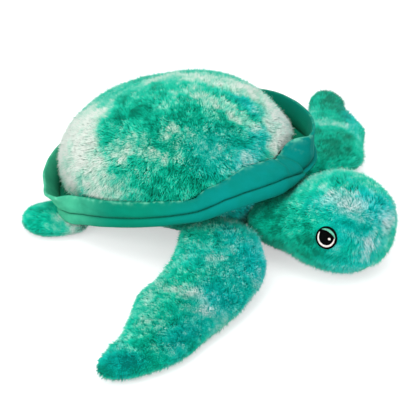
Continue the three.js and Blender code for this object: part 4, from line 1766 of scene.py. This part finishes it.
@dataclass
class Eye:
    """One embroidered eye, laid over the plush of the head. Sizes are in millimetres."""

    side: Side
    half_width: float = 9.8
    half_height: float = 10.7
    white_radius: float = 8.1
    pupil_radius: float = 6.4
    droop: float = 1.9
    lift: float = 1.7
    thread: float = 0.42
    closeness: float = 0.8
    upright: float = 1.2
    round_eye: float = 15.0
    ahead_degrees: float = -10.0
    white_span: tuple[float, float] = (150, 374)
    white_depth: float = 2.2
    lid_span: tuple[float, float] = (14, 128)
    lid_depth: float = 2.5
    lid_lift: float = 0.3
    glint_radius: float = 1.25
    glint_place: tuple[float, float] = (3.3, 0.3)
    lens_rings: tuple[tuple[float, float], ...] = (
        (1.0, -1.6), (1.01, 0.0), (0.985, 0.55), (0.93, 0.85), (0.7, 1.0), (0.35, 1.08),
    )
    lens_points: int = 48

    def prepare(self, skin: bpy.types.Object) -> None:
        """Finds the eye's own axes and the curve of the head round it.

        Args:
            skin: the head's plush skin.
        """
        low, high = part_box(f"eye_black_{self.side.name.lower()}")
        self.centre = (low + high) / 2
        places, normals = places_of(skin.data), normals_of(skin.data)
        near = np.linalg.norm(places - np.array(self.centre), axis=1) < self.round_eye * MM
        self.normal = Vector(normals[near].mean(0)).normalized()
        turn = math.radians(self.ahead_degrees)
        ahead = Vector((math.cos(turn), math.sin(turn), 0))
        self.ahead = (ahead - self.normal * ahead.dot(self.normal)).normalized()
        self.up = self.ahead.cross(self.normal) * -self.side.value
        if self.up.z < 0:
            self.up = -self.up
        self.centre -= self.up * self.droop * MM
        away = places[near] - np.array(self.centre)
        f, v, h = (away @ np.array(axis) for axis in (self.ahead, self.up, self.normal))
        terms = np.stack([np.ones_like(f), f, v, f * f, v * v, f * v], 1)
        self.curve = np.linalg.lstsq(terms, h, rcond=None)[0]

    def at(self, f: float, v: float, lift: float) -> Vector:
        """A point over the head: ahead, up and out of the skin, in millimetres."""
        a, b = f * MM, v * MM
        high = float(np.dot(self.curve, [1, a, b, a * a, b * b, a * b])) + lift * MM
        return self.centre + self.ahead * a + self.up * b + self.normal * high

    def polar(self, radius: float, degrees: float, lift: float) -> Vector:
        """The same, by a radius of the eye's oval and an angle."""
        angle = math.radians(degrees)
        tall = self.half_height / self.half_width
        return self.at(radius * math.cos(angle), radius * tall * math.sin(angle), lift)

    def lens(self) -> tuple[list[Vector], list[list[int]]]:
        """The closed cushion of black thread under the stitches, as points and faces."""
        rings, count = self.lens_rings, self.lens_points
        points = [
            self.polar(self.half_width * share, 360 * j / count, self.lift - 1.0 + lift)
            for share, lift in rings
            for j in range(count)
        ]
        faces = ring_faces(len(rings), count, closed=False)
        points += [self.at(0, 0, self.lift - 2.6), self.at(0, 0, self.lift + 0.1)]
        last = (len(rings) - 1) * count
        faces += [[(j + 1) % count, j, last + count] for j in range(count)]
        faces += [[last + j, last + (j + 1) % count, last + count + 1] for j in range(count)]
        return points, faces

    def along(self, radii: tuple[float, float], degrees: tuple[float, float], lift: float) -> Stitch:
        """One stitch between two places, each at a radius and an angle."""
        start, end = (self.polar(radius, turn, lift) for radius, turn in zip(radii, degrees))
        return Stitch(start, end, self.normal)

    def radial(self, span: tuple[float, float], inner: Callable[[float], float],
               outer: Callable[[float], float], lift: float) -> list[Stitch]:
        """Lays stitches that point at the eye's middle.

        Args:
            span: the first and the last angle in degrees.
            inner: their inner edge at an angle.
            outer: their outer edge at an angle.
            lift: how far they lie over the plush.

        Returns:
            The stitches.
        """
        start, wide, shortest = span[0], span[1] - span[0], 0.35
        count = int(abs(wide) / 360 * 2 * math.pi * self.half_height / (self.thread * self.closeness))
        made = []
        for i in range(count):
            degrees = start + wide * (i + 0.5) / count
            low, high = inner(degrees), outer(degrees)
            if high - low > shortest:
                made.append(self.along((low, high), (degrees, degrees), lift))
        return made

    def rows(self, radius: float, f0: float, v0: float, lift: float) -> list[Stitch]:
        """Lays upright stitches that fill a disc.

        Args:
            radius: the disc's.
            f0: how far ahead its middle lies.
            v0: how high its middle lies.
            lift: how far the stitches lie over the plush.

        Returns:
            The stitches.
        """
        count = int(2 * radius / (self.thread * self.closeness))
        made = []
        for i in range(count):
            f = -radius + 2 * radius * (i + 0.5) / count
            tall = math.sqrt(radius * radius - f * f) * self.upright
            ends = (self.at(f0 + f, v0 + edge * tall, lift) for edge in (-1, 1))
            made.append(Stitch(*ends, self.normal))
        return made

    def white_inner(self, degrees: float) -> float:
        """The inner edge of the white crescent, which thins to its ends."""
        return self.white_radius - self.white_depth * self.arch(degrees, self.white_span, 0.35)

    def lid_inner(self, degrees: float) -> float:
        """The lower edge of the lid, a shallow arc across the eye."""
        return self.white_radius + self.lid_lift - self.lid_depth * self.arch(degrees, self.lid_span, 0.7)

    @staticmethod
    def arch(degrees: float, span: tuple[float, float], power: float) -> float:
        """Rises from 0 at the ends of a span of angles to 1 at its middle."""
        share = (degrees - span[0]) / (span[1] - span[0])
        return max(0.0, math.sin(math.pi * share)) ** power

    def make(self, tree: Tree, black: bpy.types.Material, white: bpy.types.Material,
             mint: bpy.types.Material) -> None:
        """Lays the eye's four pieces, each in place of its CAD node.

        Args:
            tree: the thread tree.
            black: the dark thread.
            white: the white thread.
            mint: the lid's thread.
        """
        side, edge, iris = self.side.name.lower(), self.half_width, self.white_radius
        top = {name: self.lift + over for name, over in EYE_LIFTS.items()}
        lids = {d: self.lid_inner(d) - 0.5 for d in range(20, 127)}
        ring = self.radial((0, 360), lambda d: iris - 0.2, lambda d: edge - 0.1, top["ring"])
        pupil = self.rows(self.pupil_radius, 0, 0, top["pupil"])
        lash = [
            self.along((lids[d], lids[d + 5]), (d - 2.5, d + 7.5), top["lash"])
            for d in range(20, 122, 4)
        ]
        rim = [
            self.along((edge - 0.05, edge - 0.05), (d - 4, d + 4), self.lift - low)
            for low in (0.1, 0.45)
            for d in range(0, 360, 3)
        ]
        pale = self.radial(self.white_span, self.white_inner, lambda d: iris, top["white"])
        lid = self.radial(self.lid_span, self.lid_inner, lambda d: iris + 0.55, top["lid"])
        glint = self.rows(self.glint_radius, *self.glint_place, top["glint"])
        sets = (
            ("black", ring + pupil + lash + rim, black), ("white", pale, white), ("lid", lid, mint),
            ("glint", glint, white),
        )
        for label, stitches, material in sets:
            name = f"eye_{side}_{label}"
            values = {"Width": self.thread * MM, "Height": self.thread * 1.1 * MM, "Material": material}
            made = tree.grow(name, stitch_points(f"{name}_points", stitches), values)
            if label == "black":
                self.join_lens(made)
            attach(made, "head")
            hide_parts(f"eye_{label}_{side}")
            tell(made)

    def join_lens(self, made: bpy.types.Object) -> None:
        """Adds the cushion of thread to the black piece.

        Args:
            made: the black piece.
        """
        points, faces = self.lens()
        lens = mesh_from("eye_lens", points, faces)
        work = bmesh.new()
        work.from_mesh(made.data)
        work.from_mesh(lens)
        work.to_mesh(made.data)
        work.free()


# The toy


SHELL_DYE = Dye(
    pale=dye_spots(
        (-105, -48, 66, 28, 34, 36, 1.0), (-91, -40, 93, 28, 30, 28, 1.0),
        (-73, -36, 110, 22, 20, 20, 0.85), (-74, -60, 96, 18, 18, 18, 0.95),
        (-68, -74, 86, 21, 20, 24, 1.0), (-86, -80, 50, 28, 20, 24, 1.0), (-46, -86, 86, 17, 16, 22, 0.86),
        (-42, -94, 62, 20, 14, 18, 0.8), (-22, -81, 103, 15, 14, 12, 0.8), (0, -36, 134, 16, 13, 10, 0.5),
        (-18, -95, 74, 20, 12, 16, 0.45), (-11, -73, 112, 12, 11, 10, 0.7), (10, -80, 106, 15, 9, 7, 0.62),
        (19, -61, 122, 10, 9, 8, 0.7), (-43, 21, 127, 20, 16, 14, 0.5), (-28, 28, 130, 26, 18, 12, 0.5),
        (5, 24, 137, 26, 14, 12, 0.66), (36, 25, 136, 26, 15, 12, 0.66), (58, 37, 126, 22, 20, 16, 0.85),
        (14, -6, 139, 14, 11, 10, 0.45), (34, -14, 138, 16, 10, 10, 0.5), (50, -14, 134, 13, 8, 8, 0.5),
        (64, -13, 128, 14, 8, 9, 0.8), (76, -9, 120, 12, 8, 9, 0.75), (88, 30, 105, 20, 30, 26, 1.0),
        (99, 4, 98, 14, 20, 16, 0.95), (100, 38, 80, 18, 30, 26, 1.0), (89, -35, 98, 13, 12, 10, 0.5),
        (62, -52, 113, 15, 12, 10, 0.35), (41, -51, 124, 14, 12, 10, 0.3), (31, -72, 112, 12, 9, 9, 0.3),
        (-112, 14, 60, 20, 32, 30, 0.85), (-84, 60, 80, 28, 28, 28, 0.85), (-20, 76, 104, 30, 20, 16, 0.6),
        (36, 86, 92, 20, 16, 18, 0.7),
    ),
    blue=dye_spots(
        (60, 8, 131, 18, 10, 12, 0.6), (72, 12, 124, 14, 11, 12, 0.5), (86, -14, 110, 15, 15, 14, 0.65),
        (64, -52, 108, 32, 26, 24, 0.45), (89, -35, 98, 16, 16, 14, 0.7), (96, 34, 94, 20, 34, 30, 0.5),
        (10, 90, 80, 30, 18, 20, 0.5),
    ),
    deep=dye_spots(
        (-20, -44, 127, 28, 20, 16, 0.95), (-48, -26, 125, 14, 14, 10, 0.5),
        (-25, -10, 134, 18, 10, 10, 0.5), (24, -37, 133, 18, 14, 10, 0.5), (50, -80, 91, 26, 12, 14, 0.5),
        (28, -92, 78, 32, 10, 16, 0.4), (66, -30, 123, 12, 9, 8, 0.4), (-50, 34, 116, 18, 18, 14, 0.4),
        (60, 6, 132, 14, 7, 8, 0.4),
    ),
)

HEAD_DYE = Dye(
    pale=dye_spots(
        (181, -42, 80, 18, 13, 13, 0.95), (194, -38, 79, 13, 10, 12, 0.85),
        (168, -34, 85, 14, 12, 10, 0.6), (146, -8, 76, 18, 22, 14, 0.45), (166, 14, 84, 22, 12, 12, 0.5),
        (221, -24, 58, 12, 16, 14, 0.75), (214, -47, 47, 12, 10, 12, 0.65),
        (199, -6, 80, 16, 10, 12, 0.34), (156, -58, 63, 10, 8, 7, 0.31), (197, -58, 50, 9, 8, 12, 0.34),
        (186, 20, 66, 18, 12, 16, 0.41), (150, 30, 60, 16, 12, 14, 0.34), (200, -30, 12, 18, 22, 10, 0.27),
        (212, -52, 34, 12, 12, 10, 0.55), (205, -33, 70, 15, 12, 12, 0.42),
    ),
    blue=dye_spots(
        (206, -27, 75, 22, 20, 18, 1.0), (190, -54, 60, 24, 16, 20, 0.8), (214, -20, 66, 18, 22, 20, 0.95),
        (212, -48, 44, 18, 16, 18, 0.8), (196, -54, 22, 30, 20, 20, 0.65), (176, -14, 90, 18, 12, 8, 0.4),
        (160, -44, 76, 18, 14, 12, 0.4), (181, -40, 80, 20, 16, 14, 0.6),
    ),
    # The patches at the neck, (118, -48, 36) and (120, 30, 36), are painted shade under the rim.
    deep=dye_spots(
        (118, -48, 36, 22, 22, 24, 0.8), (158, -64, 37, 24, 16, 18, 1.0), (178, -12, 90, 15, 9, 8, 0.3),
        (120, 30, 36, 28, 22, 26, 0.5),
    ),
)


def limb_dye(side: Side) -> Dye:
    """The dye of a front flipper. The near one follows the photograph and the far one is plainer, with painted
    shade low by its root.

    Args:
        side: the toy's side that it is on.

    Returns:
        Its dye.
    """
    turned = float(side.value)
    pale = (
        (86, 111, 38, 12, 9, 9, 0.5), (91, 94, 39, 10, 9, 8, 0.4), (100, 70, 38, 10, 9, 9, 0.35),
        (48, 150, 26, 13, 20, 14, 0.4), (77, 158, 32, 18, 7, 9, 0.85), (95, 164, 30, 14, 7, 9, 0.9),
        (106, 170, 27, 10, 9, 9, 0.85), (122, 172, 19, 10, 14, 14, 0.75), (58, 176, 29, 14, 18, 12, 0.4),
        (59, 198, 25, 14, 14, 12, 0.5), (60, 222, 23, 8, 12, 10, 0.3), (134, 140, 18, 7, 34, 14, 0.4),
        (130, 88, 24, 9, 32, 12, 0.5), (60, 112, 34, 10, 16, 12, 0.25),
    )
    # The patch at the tip is dye. The patch at the root, under the band, is painted shade.
    deep = (
        (64, 254, 18, 22, 16, 14, 1.0), (74, 87, 40, 9, 8, 9, 0.5),
    )
    if side is Side.RIGHT:
        share = 0.85
        blue = (
            (124, 88, 28, 32, 48, 26, 1.0), (113, 152, 28, 26, 24, 16, 0.95),
            (106, 202, 24, 22, 32, 16, 0.75), (86, 74, 38, 22, 18, 14, 0.7),
            (66, 250, 18, 22, 18, 14, 0.8), (78, 110, 36, 30, 24, 14, 0.4),
        )
    else:
        share = 0.8
        blue = (
            (108, 220, 22, 20, 34, 16, 1.0), (118, 176, 24, 14, 18, 14, 0.4),
        )
        # On the far flipper the patch at (112, 118, 30), low by its root, is painted shade under the rim and
        # the head.
        deep += (
            (84, 226, 24, 34, 32, 20, 1.0), (112, 118, 30, 30, 36, 20, 0.9),
            (90, 196, 30, 14, 16, 14, 0.5),
        )
    pale = dye_spots(*pale, side=turned, share=share)
    return Dye(pale, *(dye_spots(*rows, side=turned) for rows in (blue, deep)))


def rear_dye(side: Side) -> Dye:
    """The dye of a rear flipper."""
    turned = float(side.value)
    pale = dye_spots((-69, 88, 12, 20, 15, 16, 1.0), (-92, 78, 18, 8, 8, 6, 0.3), side=turned)
    return Dye(pale, deep=dye_spots((-104, 84, 17, 12, 16, 10, 0.5), side=turned))


BELLY_DYE = Dye(
    pale=dye_spots((40, 20, 2, 30, 20, 14, 0.6), (-50, -16, 2, 26, 22, 14, 0.6)),
    blue=dye_spots((96, -46, 50, 34, 30, 30, 0.9), (96, 46, 50, 34, 30, 30, 0.9)),
    # The darker strips along the belly's sides, under the rim, are painted shade.
    deep=dye_spots((-30, -70, 40, 80, 20, 30, 0.6), (-30, 70, 40, 80, 20, 30, 0.6)),
)

SHELL_COATS = (
    long_coat(8.3, 0.8, 1.42, 1.8), under_coat("first_under_pile", 5.8, 1.1, 0.98),
    under_coat("second_under_pile", 5.3, 1.1, 0.98),
)
HEAD_COATS = (long_coat(7.5, 0.75, 1.2, 1.5), under_coat("under_pile", 5.0, 1.05, 0.72))
FRONT_COATS = (long_coat(8.6, 0.75, 1.15, 1.7), under_coat("under_pile", 5.6, 1.05, 0.7))
REAR_COATS = (long_coat(7.4, 0.75, 1.15, 1.5), under_coat("under_pile", 5.8, 1.05, 0.7))
BELLY_COATS = (under_coat("short_pile", 6.4, 0.95, 0.95),)


@dataclass(frozen=True)
class LimbKind:
    """What sets the front and the rear flippers apart. The places are the left one's, in millimetres."""

    name: str
    yaw: float
    hinge: Place
    reach: float
    comb: Place
    coats: tuple[Coat, ...]
    levels: dict[Side, float]
    voxel: float
    inset: float
    swell: float


# The far (left) front flipper's lower level is painted shade, which makes it darker overall than the near one.
FRONT_LIMB = LimbKind("front_flipper", 14, (74, 60, 25), 13, (0.05, 0.35, -0.1), FRONT_COATS,
                      {Side.LEFT: 0.3, Side.RIGHT: 0.45}, 4.0, 3.2, 2.4)
REAR_LIMB = LimbKind("rear_flipper", -25, (-79.5, 50.5, 8.6), 8, (-0.4, 0.4, -0.1), REAR_COATS,
                     {Side.LEFT: 0.38, Side.RIGHT: 0.38}, 3.0, 1.3, 1.4)


@dataclass
class Turtle:
    """The whole toy."""

    rim_shape: RimShape = field(default_factory=RimShape)

    def shell_cover(self, places: np.ndarray, normals: np.ndarray) -> np.ndarray:
        """Shortens the shell's pile where the rim lies against it.

        Args:
            places: rows in metres.
            normals: the skin's, not needed here.

        Returns:
            The share of the pile's length at each place.
        """
        shape = self.rim_shape
        rim = Rim(shape)
        along, y, up = shape.unplaced(places)
        ahead = (along + shape.setback) / shape.half_length
        angles = np.degrees(np.arctan2(y / shape.half_width, ahead)) % 360
        turns = np.arange(0, 361, 1.0)
        flare = np.interp(angles, turns, [rim.flare_share(a) for a in turns])
        top = np.interp(angles, turns, [rim.crown(a) for a in turns])
        near, slack, sink, least = 4.0, 6.0, 1.8, 0.02
        loose = np.interp(angles, turns, [limited((rim.gap(a) - near) / slack) for a in turns])
        filled = sum(5.0 * hill(angles, centre, spread) for centre, spread in ((354, 7), (301, 5)))
        leaning = smoothstep(up - top - sink * loose + filled, -7.5, -2.0)
        open_foot = smoothstep(up, 0.5, 6.0)
        return least + (1 - least) * (flare * open_foot + (1 - flare) * leaning)

    @staticmethod
    def head_cover(places: np.ndarray, normals: np.ndarray) -> np.ndarray:
        """Clears the pile at the eyes and shortens it at the neck.

        Args:
            places: rows in metres.
            normals: the skin's, not needed here.

        Returns:
            The share of the pile's length at each place.
        """
        share, short, neck = np.ones(len(places)), 0.45, 0.35
        for side in Side:
            low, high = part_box(f"eye_black_{side.name.lower()}")
            away = np.linalg.norm(places - np.array((low + high) / 2), axis=1) / MM
            share *= smoothstep(away, 10.2, 11.8) * (short + (1 - short) * smoothstep(away, 11.5, 21.0))
        return share * (neck + (1 - neck) * smoothstep(places[:, 0] / MM, 96, 122))

    @staticmethod
    def settle_shell(places: np.ndarray) -> np.ndarray:
        """Moves the dome a little to where the photograph shows its plush."""
        moved = places + np.array((1.6, 0.6, 0.6))
        moved[:, 0] += 2.2 * smoothstep(places[:, 0], 10, 90)
        return moved

    @staticmethod
    def settle_head(places: np.ndarray) -> np.ndarray:
        """Draws the snout in a little and fills the near cheek, the chin and the neck.

        Args:
            places: rows in millimetres.

        Returns:
            The moved rows.
        """
        x, y, z = places.T
        moved = places.copy()
        moved[:, 0] -= 1.2 * smoothstep(x, 188, 226)
        moved[:, 0] -= 2.6 * smoothstep(x, 185, 212) * smoothstep(-z, -55, -32)
        moved[:, 0] += 2.2 * smoothstep(x, 195, 222) * smoothstep(z, 55, 74)
        moved[:, 2] -= 3.6 * hill(x, 193, 18) * smoothstep(z, 68, 84)
        low = smoothstep(-z, -50, -14) * smoothstep(x, 105, 135) * (1 - smoothstep(x, 188, 212))
        neck = hill(x, 104, 16) * smoothstep(-y, 12, 38)
        moved[:, 1] -= 6.6 * low * smoothstep(-y, 15, 50) * smoothstep(x, 125, 155) + 10.0 * neck
        moved[:, 0] -= 6.5 * neck
        return moved

    @staticmethod
    def settle_flipper(side: Side) -> Callable[[np.ndarray], np.ndarray]:
        """Spreads a front flipper at its root and sweeps it a little forward, the far one more.

        Args:
            side: the toy's side that it is on.

        Returns:
            What moves its places, in millimetres.
        """
        reach, ahead = (40, 70, 100, 125, 170, 230), (0, 2.5, 3.2, 2.2, 1.0, 2.5)
        stretch, elbow = 1.04, 120
        lead = ((178, 20, -2.0), (44, 14, 10.0), (90, 18, 3.0), (215, 28, 3.2))
        trail = ((164, 18, -6.5), (216, 12, 4.0), (118, 14, 2.5), (72, 20, -9.0))
        if side is Side.LEFT:
            ahead, stretch = (0, 6.0, 10.0, 10.5, 8.5, -1.0), 0.964
            lead, trail = ((228, 16, -9.0), (196, 16, 6.5), (130, 16, 3.0)), ((206, 24, 10.0), (72, 20, -7.5))

        def moved(places: np.ndarray) -> np.ndarray:
            """Moves the places of the flipper."""
            out = np.abs(places[:, 1])
            middle = np.interp(out, (60, 150, 240), (88, 88, 70))
            made = places.copy()
            made[:, 0] += np.interp(out, reach, ahead)
            for edge, rows in ((1, lead), (-1, trail)):
                share = smoothstep(edge * (places[:, 0] - middle), 2, 26)
                for centre, spread, shift in rows:
                    made[:, 0] += shift * share * hill(out, centre, spread)
            made[:, 2] += 5.5 * smoothstep(places[:, 2], 22, 38) * hill(out, 68, 22)
            made[:, 1] = np.where(out > elbow, side.value * (elbow + (out - elbow) * stretch), places[:, 1])
            return made

        return moved

    @staticmethod
    def settle_rear(places: np.ndarray) -> np.ndarray:
        """Reaches a rear flipper a little further out."""
        out = smoothstep(np.abs(places[:, 1]), 60, 95)
        ahead = 0.2 + np.where(places[:, 1] < 0, 9.0, 2.0) * smoothstep(places[:, 0], -86, -68)
        return places + np.stack([ahead * out, np.zeros(len(out)), 1.8 * out], 1)

    @staticmethod
    def belly_cover(places: np.ndarray, normals: np.ndarray) -> np.ndarray:
        """Keeps pile off the belly's hidden top."""
        side = smoothstep(places[:, 2] / MM, 16, 40) * smoothstep(places[:, 0] / MM, 30, 60)
        return smoothstep(-normals[:, 2], -0.75, -0.4) * (0.47 + 0.53 * side)

    def limb(self, kind: LimbKind, side: Side) -> StuffedForm:
        """Describes one flipper.

        Args:
            kind: front or rear.
            side: the toy's side that it is on.

        Returns:
            Its form.
        """
        name, front = f"{kind.name}_{side.name.lower()}", kind is FRONT_LIMB
        across = np.array((1, side.value, 1))
        yaw = math.radians(kind.yaw)
        hinge, out = np.array(kind.hinge) * across, np.array((math.sin(yaw), math.cos(yaw), 0)) * across
        panels = (f"{name}_top_panel", f"{name}_bottom_panel")
        dye = limb_dye(side) if front else rear_dye(side)
        finish = PlushFinish(f"{name}_dyed_plush", dye, LIMB_GREEN, LIMB_BLUE, base_level=kind.levels[side])
        return StuffedForm(
            name=name, body=name, nodes=(*panels, f"{name}_stuffing"), slot="limb_plush", finish=finish,
            coats=kind.coats, comb=tuple(float(c) for c in np.array(kind.comb) * across), panels=panels,
            voxel=kind.voxel, inset=kind.inset, swell=kind.swell,
            bridge=(name, tuple(hinge - out * kind.reach * 0.6), tuple(hinge + out * kind.reach)),
            reshape=self.settle_flipper(side) if front else self.settle_rear,
        )

    def forms(self) -> list[StuffedForm]:
        """Lists the stuffed forms.

        Returns:
            The shell, the belly, the head and the flippers.
        """
        shell = StuffedForm(
            name="shell", body="body", nodes=("shell_cover", "body_stuffing"), slot="shell_plush",
            finish=PlushFinish("shell_dyed_plush", SHELL_DYE), coats=SHELL_COATS, comb=(0.0, 0.0, -0.3),
            hulled=True, voxel=4.5, inset=5.6, swell=2.0, cover=self.shell_cover, reshape=self.settle_shell,
            dents=(
                Dent((-18, -48, 128), 12, 3.0), Dent((-68, 2, 114), 32, 5.5), Dent((-36, -26, 130), 13, 2.6),
                Dent((-40, 34, 122), 34, 4.2), Dent((64, 32, 124), 26, -2.4), Dent((102, 32, 84), 26, -9.5),
            ),
        )
        belly = StuffedForm(
            name="belly", body="body", nodes=("belly_cover",), slot="belly_plush",
            finish=PlushFinish("belly_dyed_plush", BELLY_DYE), coats=BELLY_COATS, comb=(0.3, 0.0, 0.3),
            hulled=True, voxel=4.5, inset=2.0, swell=0.0, way=Swelling.SMOOTHED, cover=self.belly_cover,
        )
        panels = ("head_gusset", "head_side_left", "head_side_right")
        head = StuffedForm(
            name="head", body="head", nodes=(*panels, "head_stuffing"), slot="head_plush",
            finish=PlushFinish("head_dyed_plush", HEAD_DYE, LIMB_GREEN, LIMB_BLUE, base_level=0.43),
            coats=HEAD_COATS, comb=(-0.2, 0.0, -0.3), panels=panels, inset=3.3, swell=2.4,
            cover=self.head_cover, reshape=self.settle_head, bridge=("head", (94, -1, 34), (122, -6, 34)),
        )
        limbs = [self.limb(kind, side) for kind in (FRONT_LIMB, REAR_LIMB) for side in Side]
        return [shell, belly, head, *limbs]

    def build(self) -> None:
        """Makes every piece in order."""
        forms = self.forms()
        for form in forms:
            form.blank()
        for step in range(1, CLOTH_STEPS + 1):
            bpy.context.scene.frame_set(step)
        pile, threads = pile_tree(), thread_tree()
        for count, form in enumerate(forms):
            form.dress(pile, 101 * (count + 1))
        suede = SuedeFinish("rim_suede_cloth").material()
        rim = Rim(self.rim_shape)
        rim.make_collar(suede)
        rim.make_band(suede)
        sewn = ThreadFinish("rim_thread", linear(2, 112, 96), linear(0, 84, 72)).material()
        rim.make_stitches(threads, sewn)
        black = ThreadFinish("black_eye_thread", linear(4, 6, 6), linear(1, 2, 2), 0.8, 0.03).material()
        white = ThreadFinish("white_eye_thread", linear(236, 228, 222), linear(206, 200, 194)).material()
        mint = ThreadFinish("mint_lid_thread", linear(112, 190, 164), linear(84, 158, 134)).material()
        skin = bpy.data.objects["head_plush"]
        for side in Side:
            eye = Eye(side)
            eye.prepare(skin)
            eye.make(threads, black, white, mint)


# The studio


LAMPS = (
    ("key_lamp", (-0.3, -1.35, 1.0), 12.0, 0.9), ("fill_lamp", (1.25, -0.95, 0.6), 7.5, 1.1),
    ("back_lamp", (0.2, 1.2, 1.1), 2.6, 1.0), ("top_lamp", (0.15, -0.25, 1.7), 11.0, 1.1),
)


@dataclass
class Studio:
    """A plain pale floor, soft lamps and the camera at the photograph's view."""

    azimuth: float = 25.0
    elevation: float = 34.0
    distance: float = 1.320
    target: Place = (36.03 * MM, -8.36 * MM, 12.19 * MM)
    focal_share: float = 1.03 * 1320 / 420
    sensor: float = 36.0
    faced: Place = (0.02, 0, 0.05)
    floor_grey: float = 0.72
    seen_grey: float = 0.6
    seen_glow: float = 0.5

    def floor(self) -> None:
        """Makes the floor, white to the camera, pale to the lamps and clear from below."""
        size = 6.0
        corners = [(-size, -size, 0), (size, -size, 0), (size, size, 0), (-size, size, 0)]
        floor = link_object("floor", mesh_from("floor", corners, [[0, 1, 2, 3]], smooth=False))
        material = bpy.data.materials.new("pale_floor")
        material.use_nodes = True
        tree = material.node_tree
        tree.nodes.clear()
        graph = Graph(tree)
        seen = self.seen_share(graph)
        plain, kept = (
            graph.node("ShaderNodeBsdfDiffuse", {"Color": (grey, grey, grey, 1)}).outputs[0]
            for grey in (self.floor_grey, self.seen_grey)
        )
        values = {"Color": (1, 1, 1, 1), "Strength": self.seen_glow}
        glow = graph.node("ShaderNodeEmission", values).outputs[0]
        both = graph.node("ShaderNodeAddShader", {0: kept, 1: glow}).outputs[0]
        mixed = self.either(graph, seen, plain, both)
        under = graph.node("ShaderNodeNewGeometry").outputs["Backfacing"]
        clear = graph.node("ShaderNodeBsdfTransparent").outputs[0]
        graph.node("ShaderNodeOutputMaterial", {"Surface": self.either(graph, under, mixed, clear)})
        floor.data.materials.append(material)

    @staticmethod
    def either(graph: Graph, share: Socket, first: Socket, second: Socket) -> Socket:
        """Mixes two shaders by a share of 0 to 1."""
        return graph.node("ShaderNodeMixShader", {0: share, 1: first, 2: second}).outputs[0]

    @staticmethod
    def seen_share(graph: Graph) -> Socket:
        """One for camera, glossy and transmission rays, and nought for the rest."""
        path = graph.node("ShaderNodeLightPath").outputs
        share = graph.math("MAXIMUM", path["Is Camera Ray"], path["Is Glossy Ray"])
        return graph.math("MAXIMUM", share, path["Is Transmission Ray"])

    def world(self) -> None:
        """Makes a soft surrounding light behind a white backdrop."""
        world = bpy.data.worlds.new("studio")
        bpy.context.scene.world = world
        world.use_nodes = True
        graph = Graph(world.node_tree)
        world.node_tree.nodes.clear()
        soft, white = (
            graph.node("ShaderNodeBackground", {"Color": colour, "Strength": strength}).outputs[0]
            for colour, strength in (((0.96, 0.98, 1.0, 1), 0.9), ((1, 1, 1, 1), 1.0))
        )
        shown = self.either(graph, self.seen_share(graph), soft, white)
        graph.node("ShaderNodeOutputWorld", {"Surface": shown})

    def lamp(self, name: str, place: Place, watts: float, size: float) -> None:
        """Hangs one square soft lamp that faces the toy.

        Args:
            name: its name.
            place: where it hangs, in metres.
            watts: its power.
            size: its edge in metres.
        """
        light = bpy.data.lights.new(name, "AREA")
        light.energy = watts
        light.size = size
        lamp = bpy.data.objects.new(name, light)
        bpy.context.scene.collection.objects.link(lamp)
        lamp.location = place
        lamp.rotation_euler = (Vector(self.faced) - Vector(place)).to_track_quat("-Z", "Y").to_euler()

    def camera(self) -> None:
        """Sets the camera at the photograph's view."""
        data = bpy.data.cameras.new("camera")
        data.sensor_width = self.sensor
        data.lens = self.focal_share * data.sensor_width
        data.clip_start, data.clip_end = 0.05, 20.0
        camera = bpy.data.objects.new("camera", data)
        bpy.context.scene.collection.objects.link(camera)
        a, e = math.radians(self.azimuth), math.radians(self.elevation)
        back = Vector((math.sin(a) * math.cos(e), -math.cos(a) * math.cos(e), math.sin(e)))
        camera.location = Vector(self.target) + back * self.distance
        camera.rotation_euler = (-back).to_track_quat("-Z", "Y").to_euler()
        bpy.context.scene.camera = camera

    def build(self) -> None:
        """Makes the studio."""
        self.floor()
        self.world()
        for row in LAMPS:
            self.lamp(*row)
        self.camera()
        bpy.context.scene.view_settings.view_transform = "Standard"


def write_sizes() -> None:
    """Updates the view layer."""
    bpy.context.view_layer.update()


def main() -> None:
    """Builds the toy and the studio."""
    logging.basicConfig(level=logging.INFO, format="%(name)s %(message)s")
    Turtle().build()
    Studio().build()
    write_sizes()


if __name__ == "__main__":
    main()
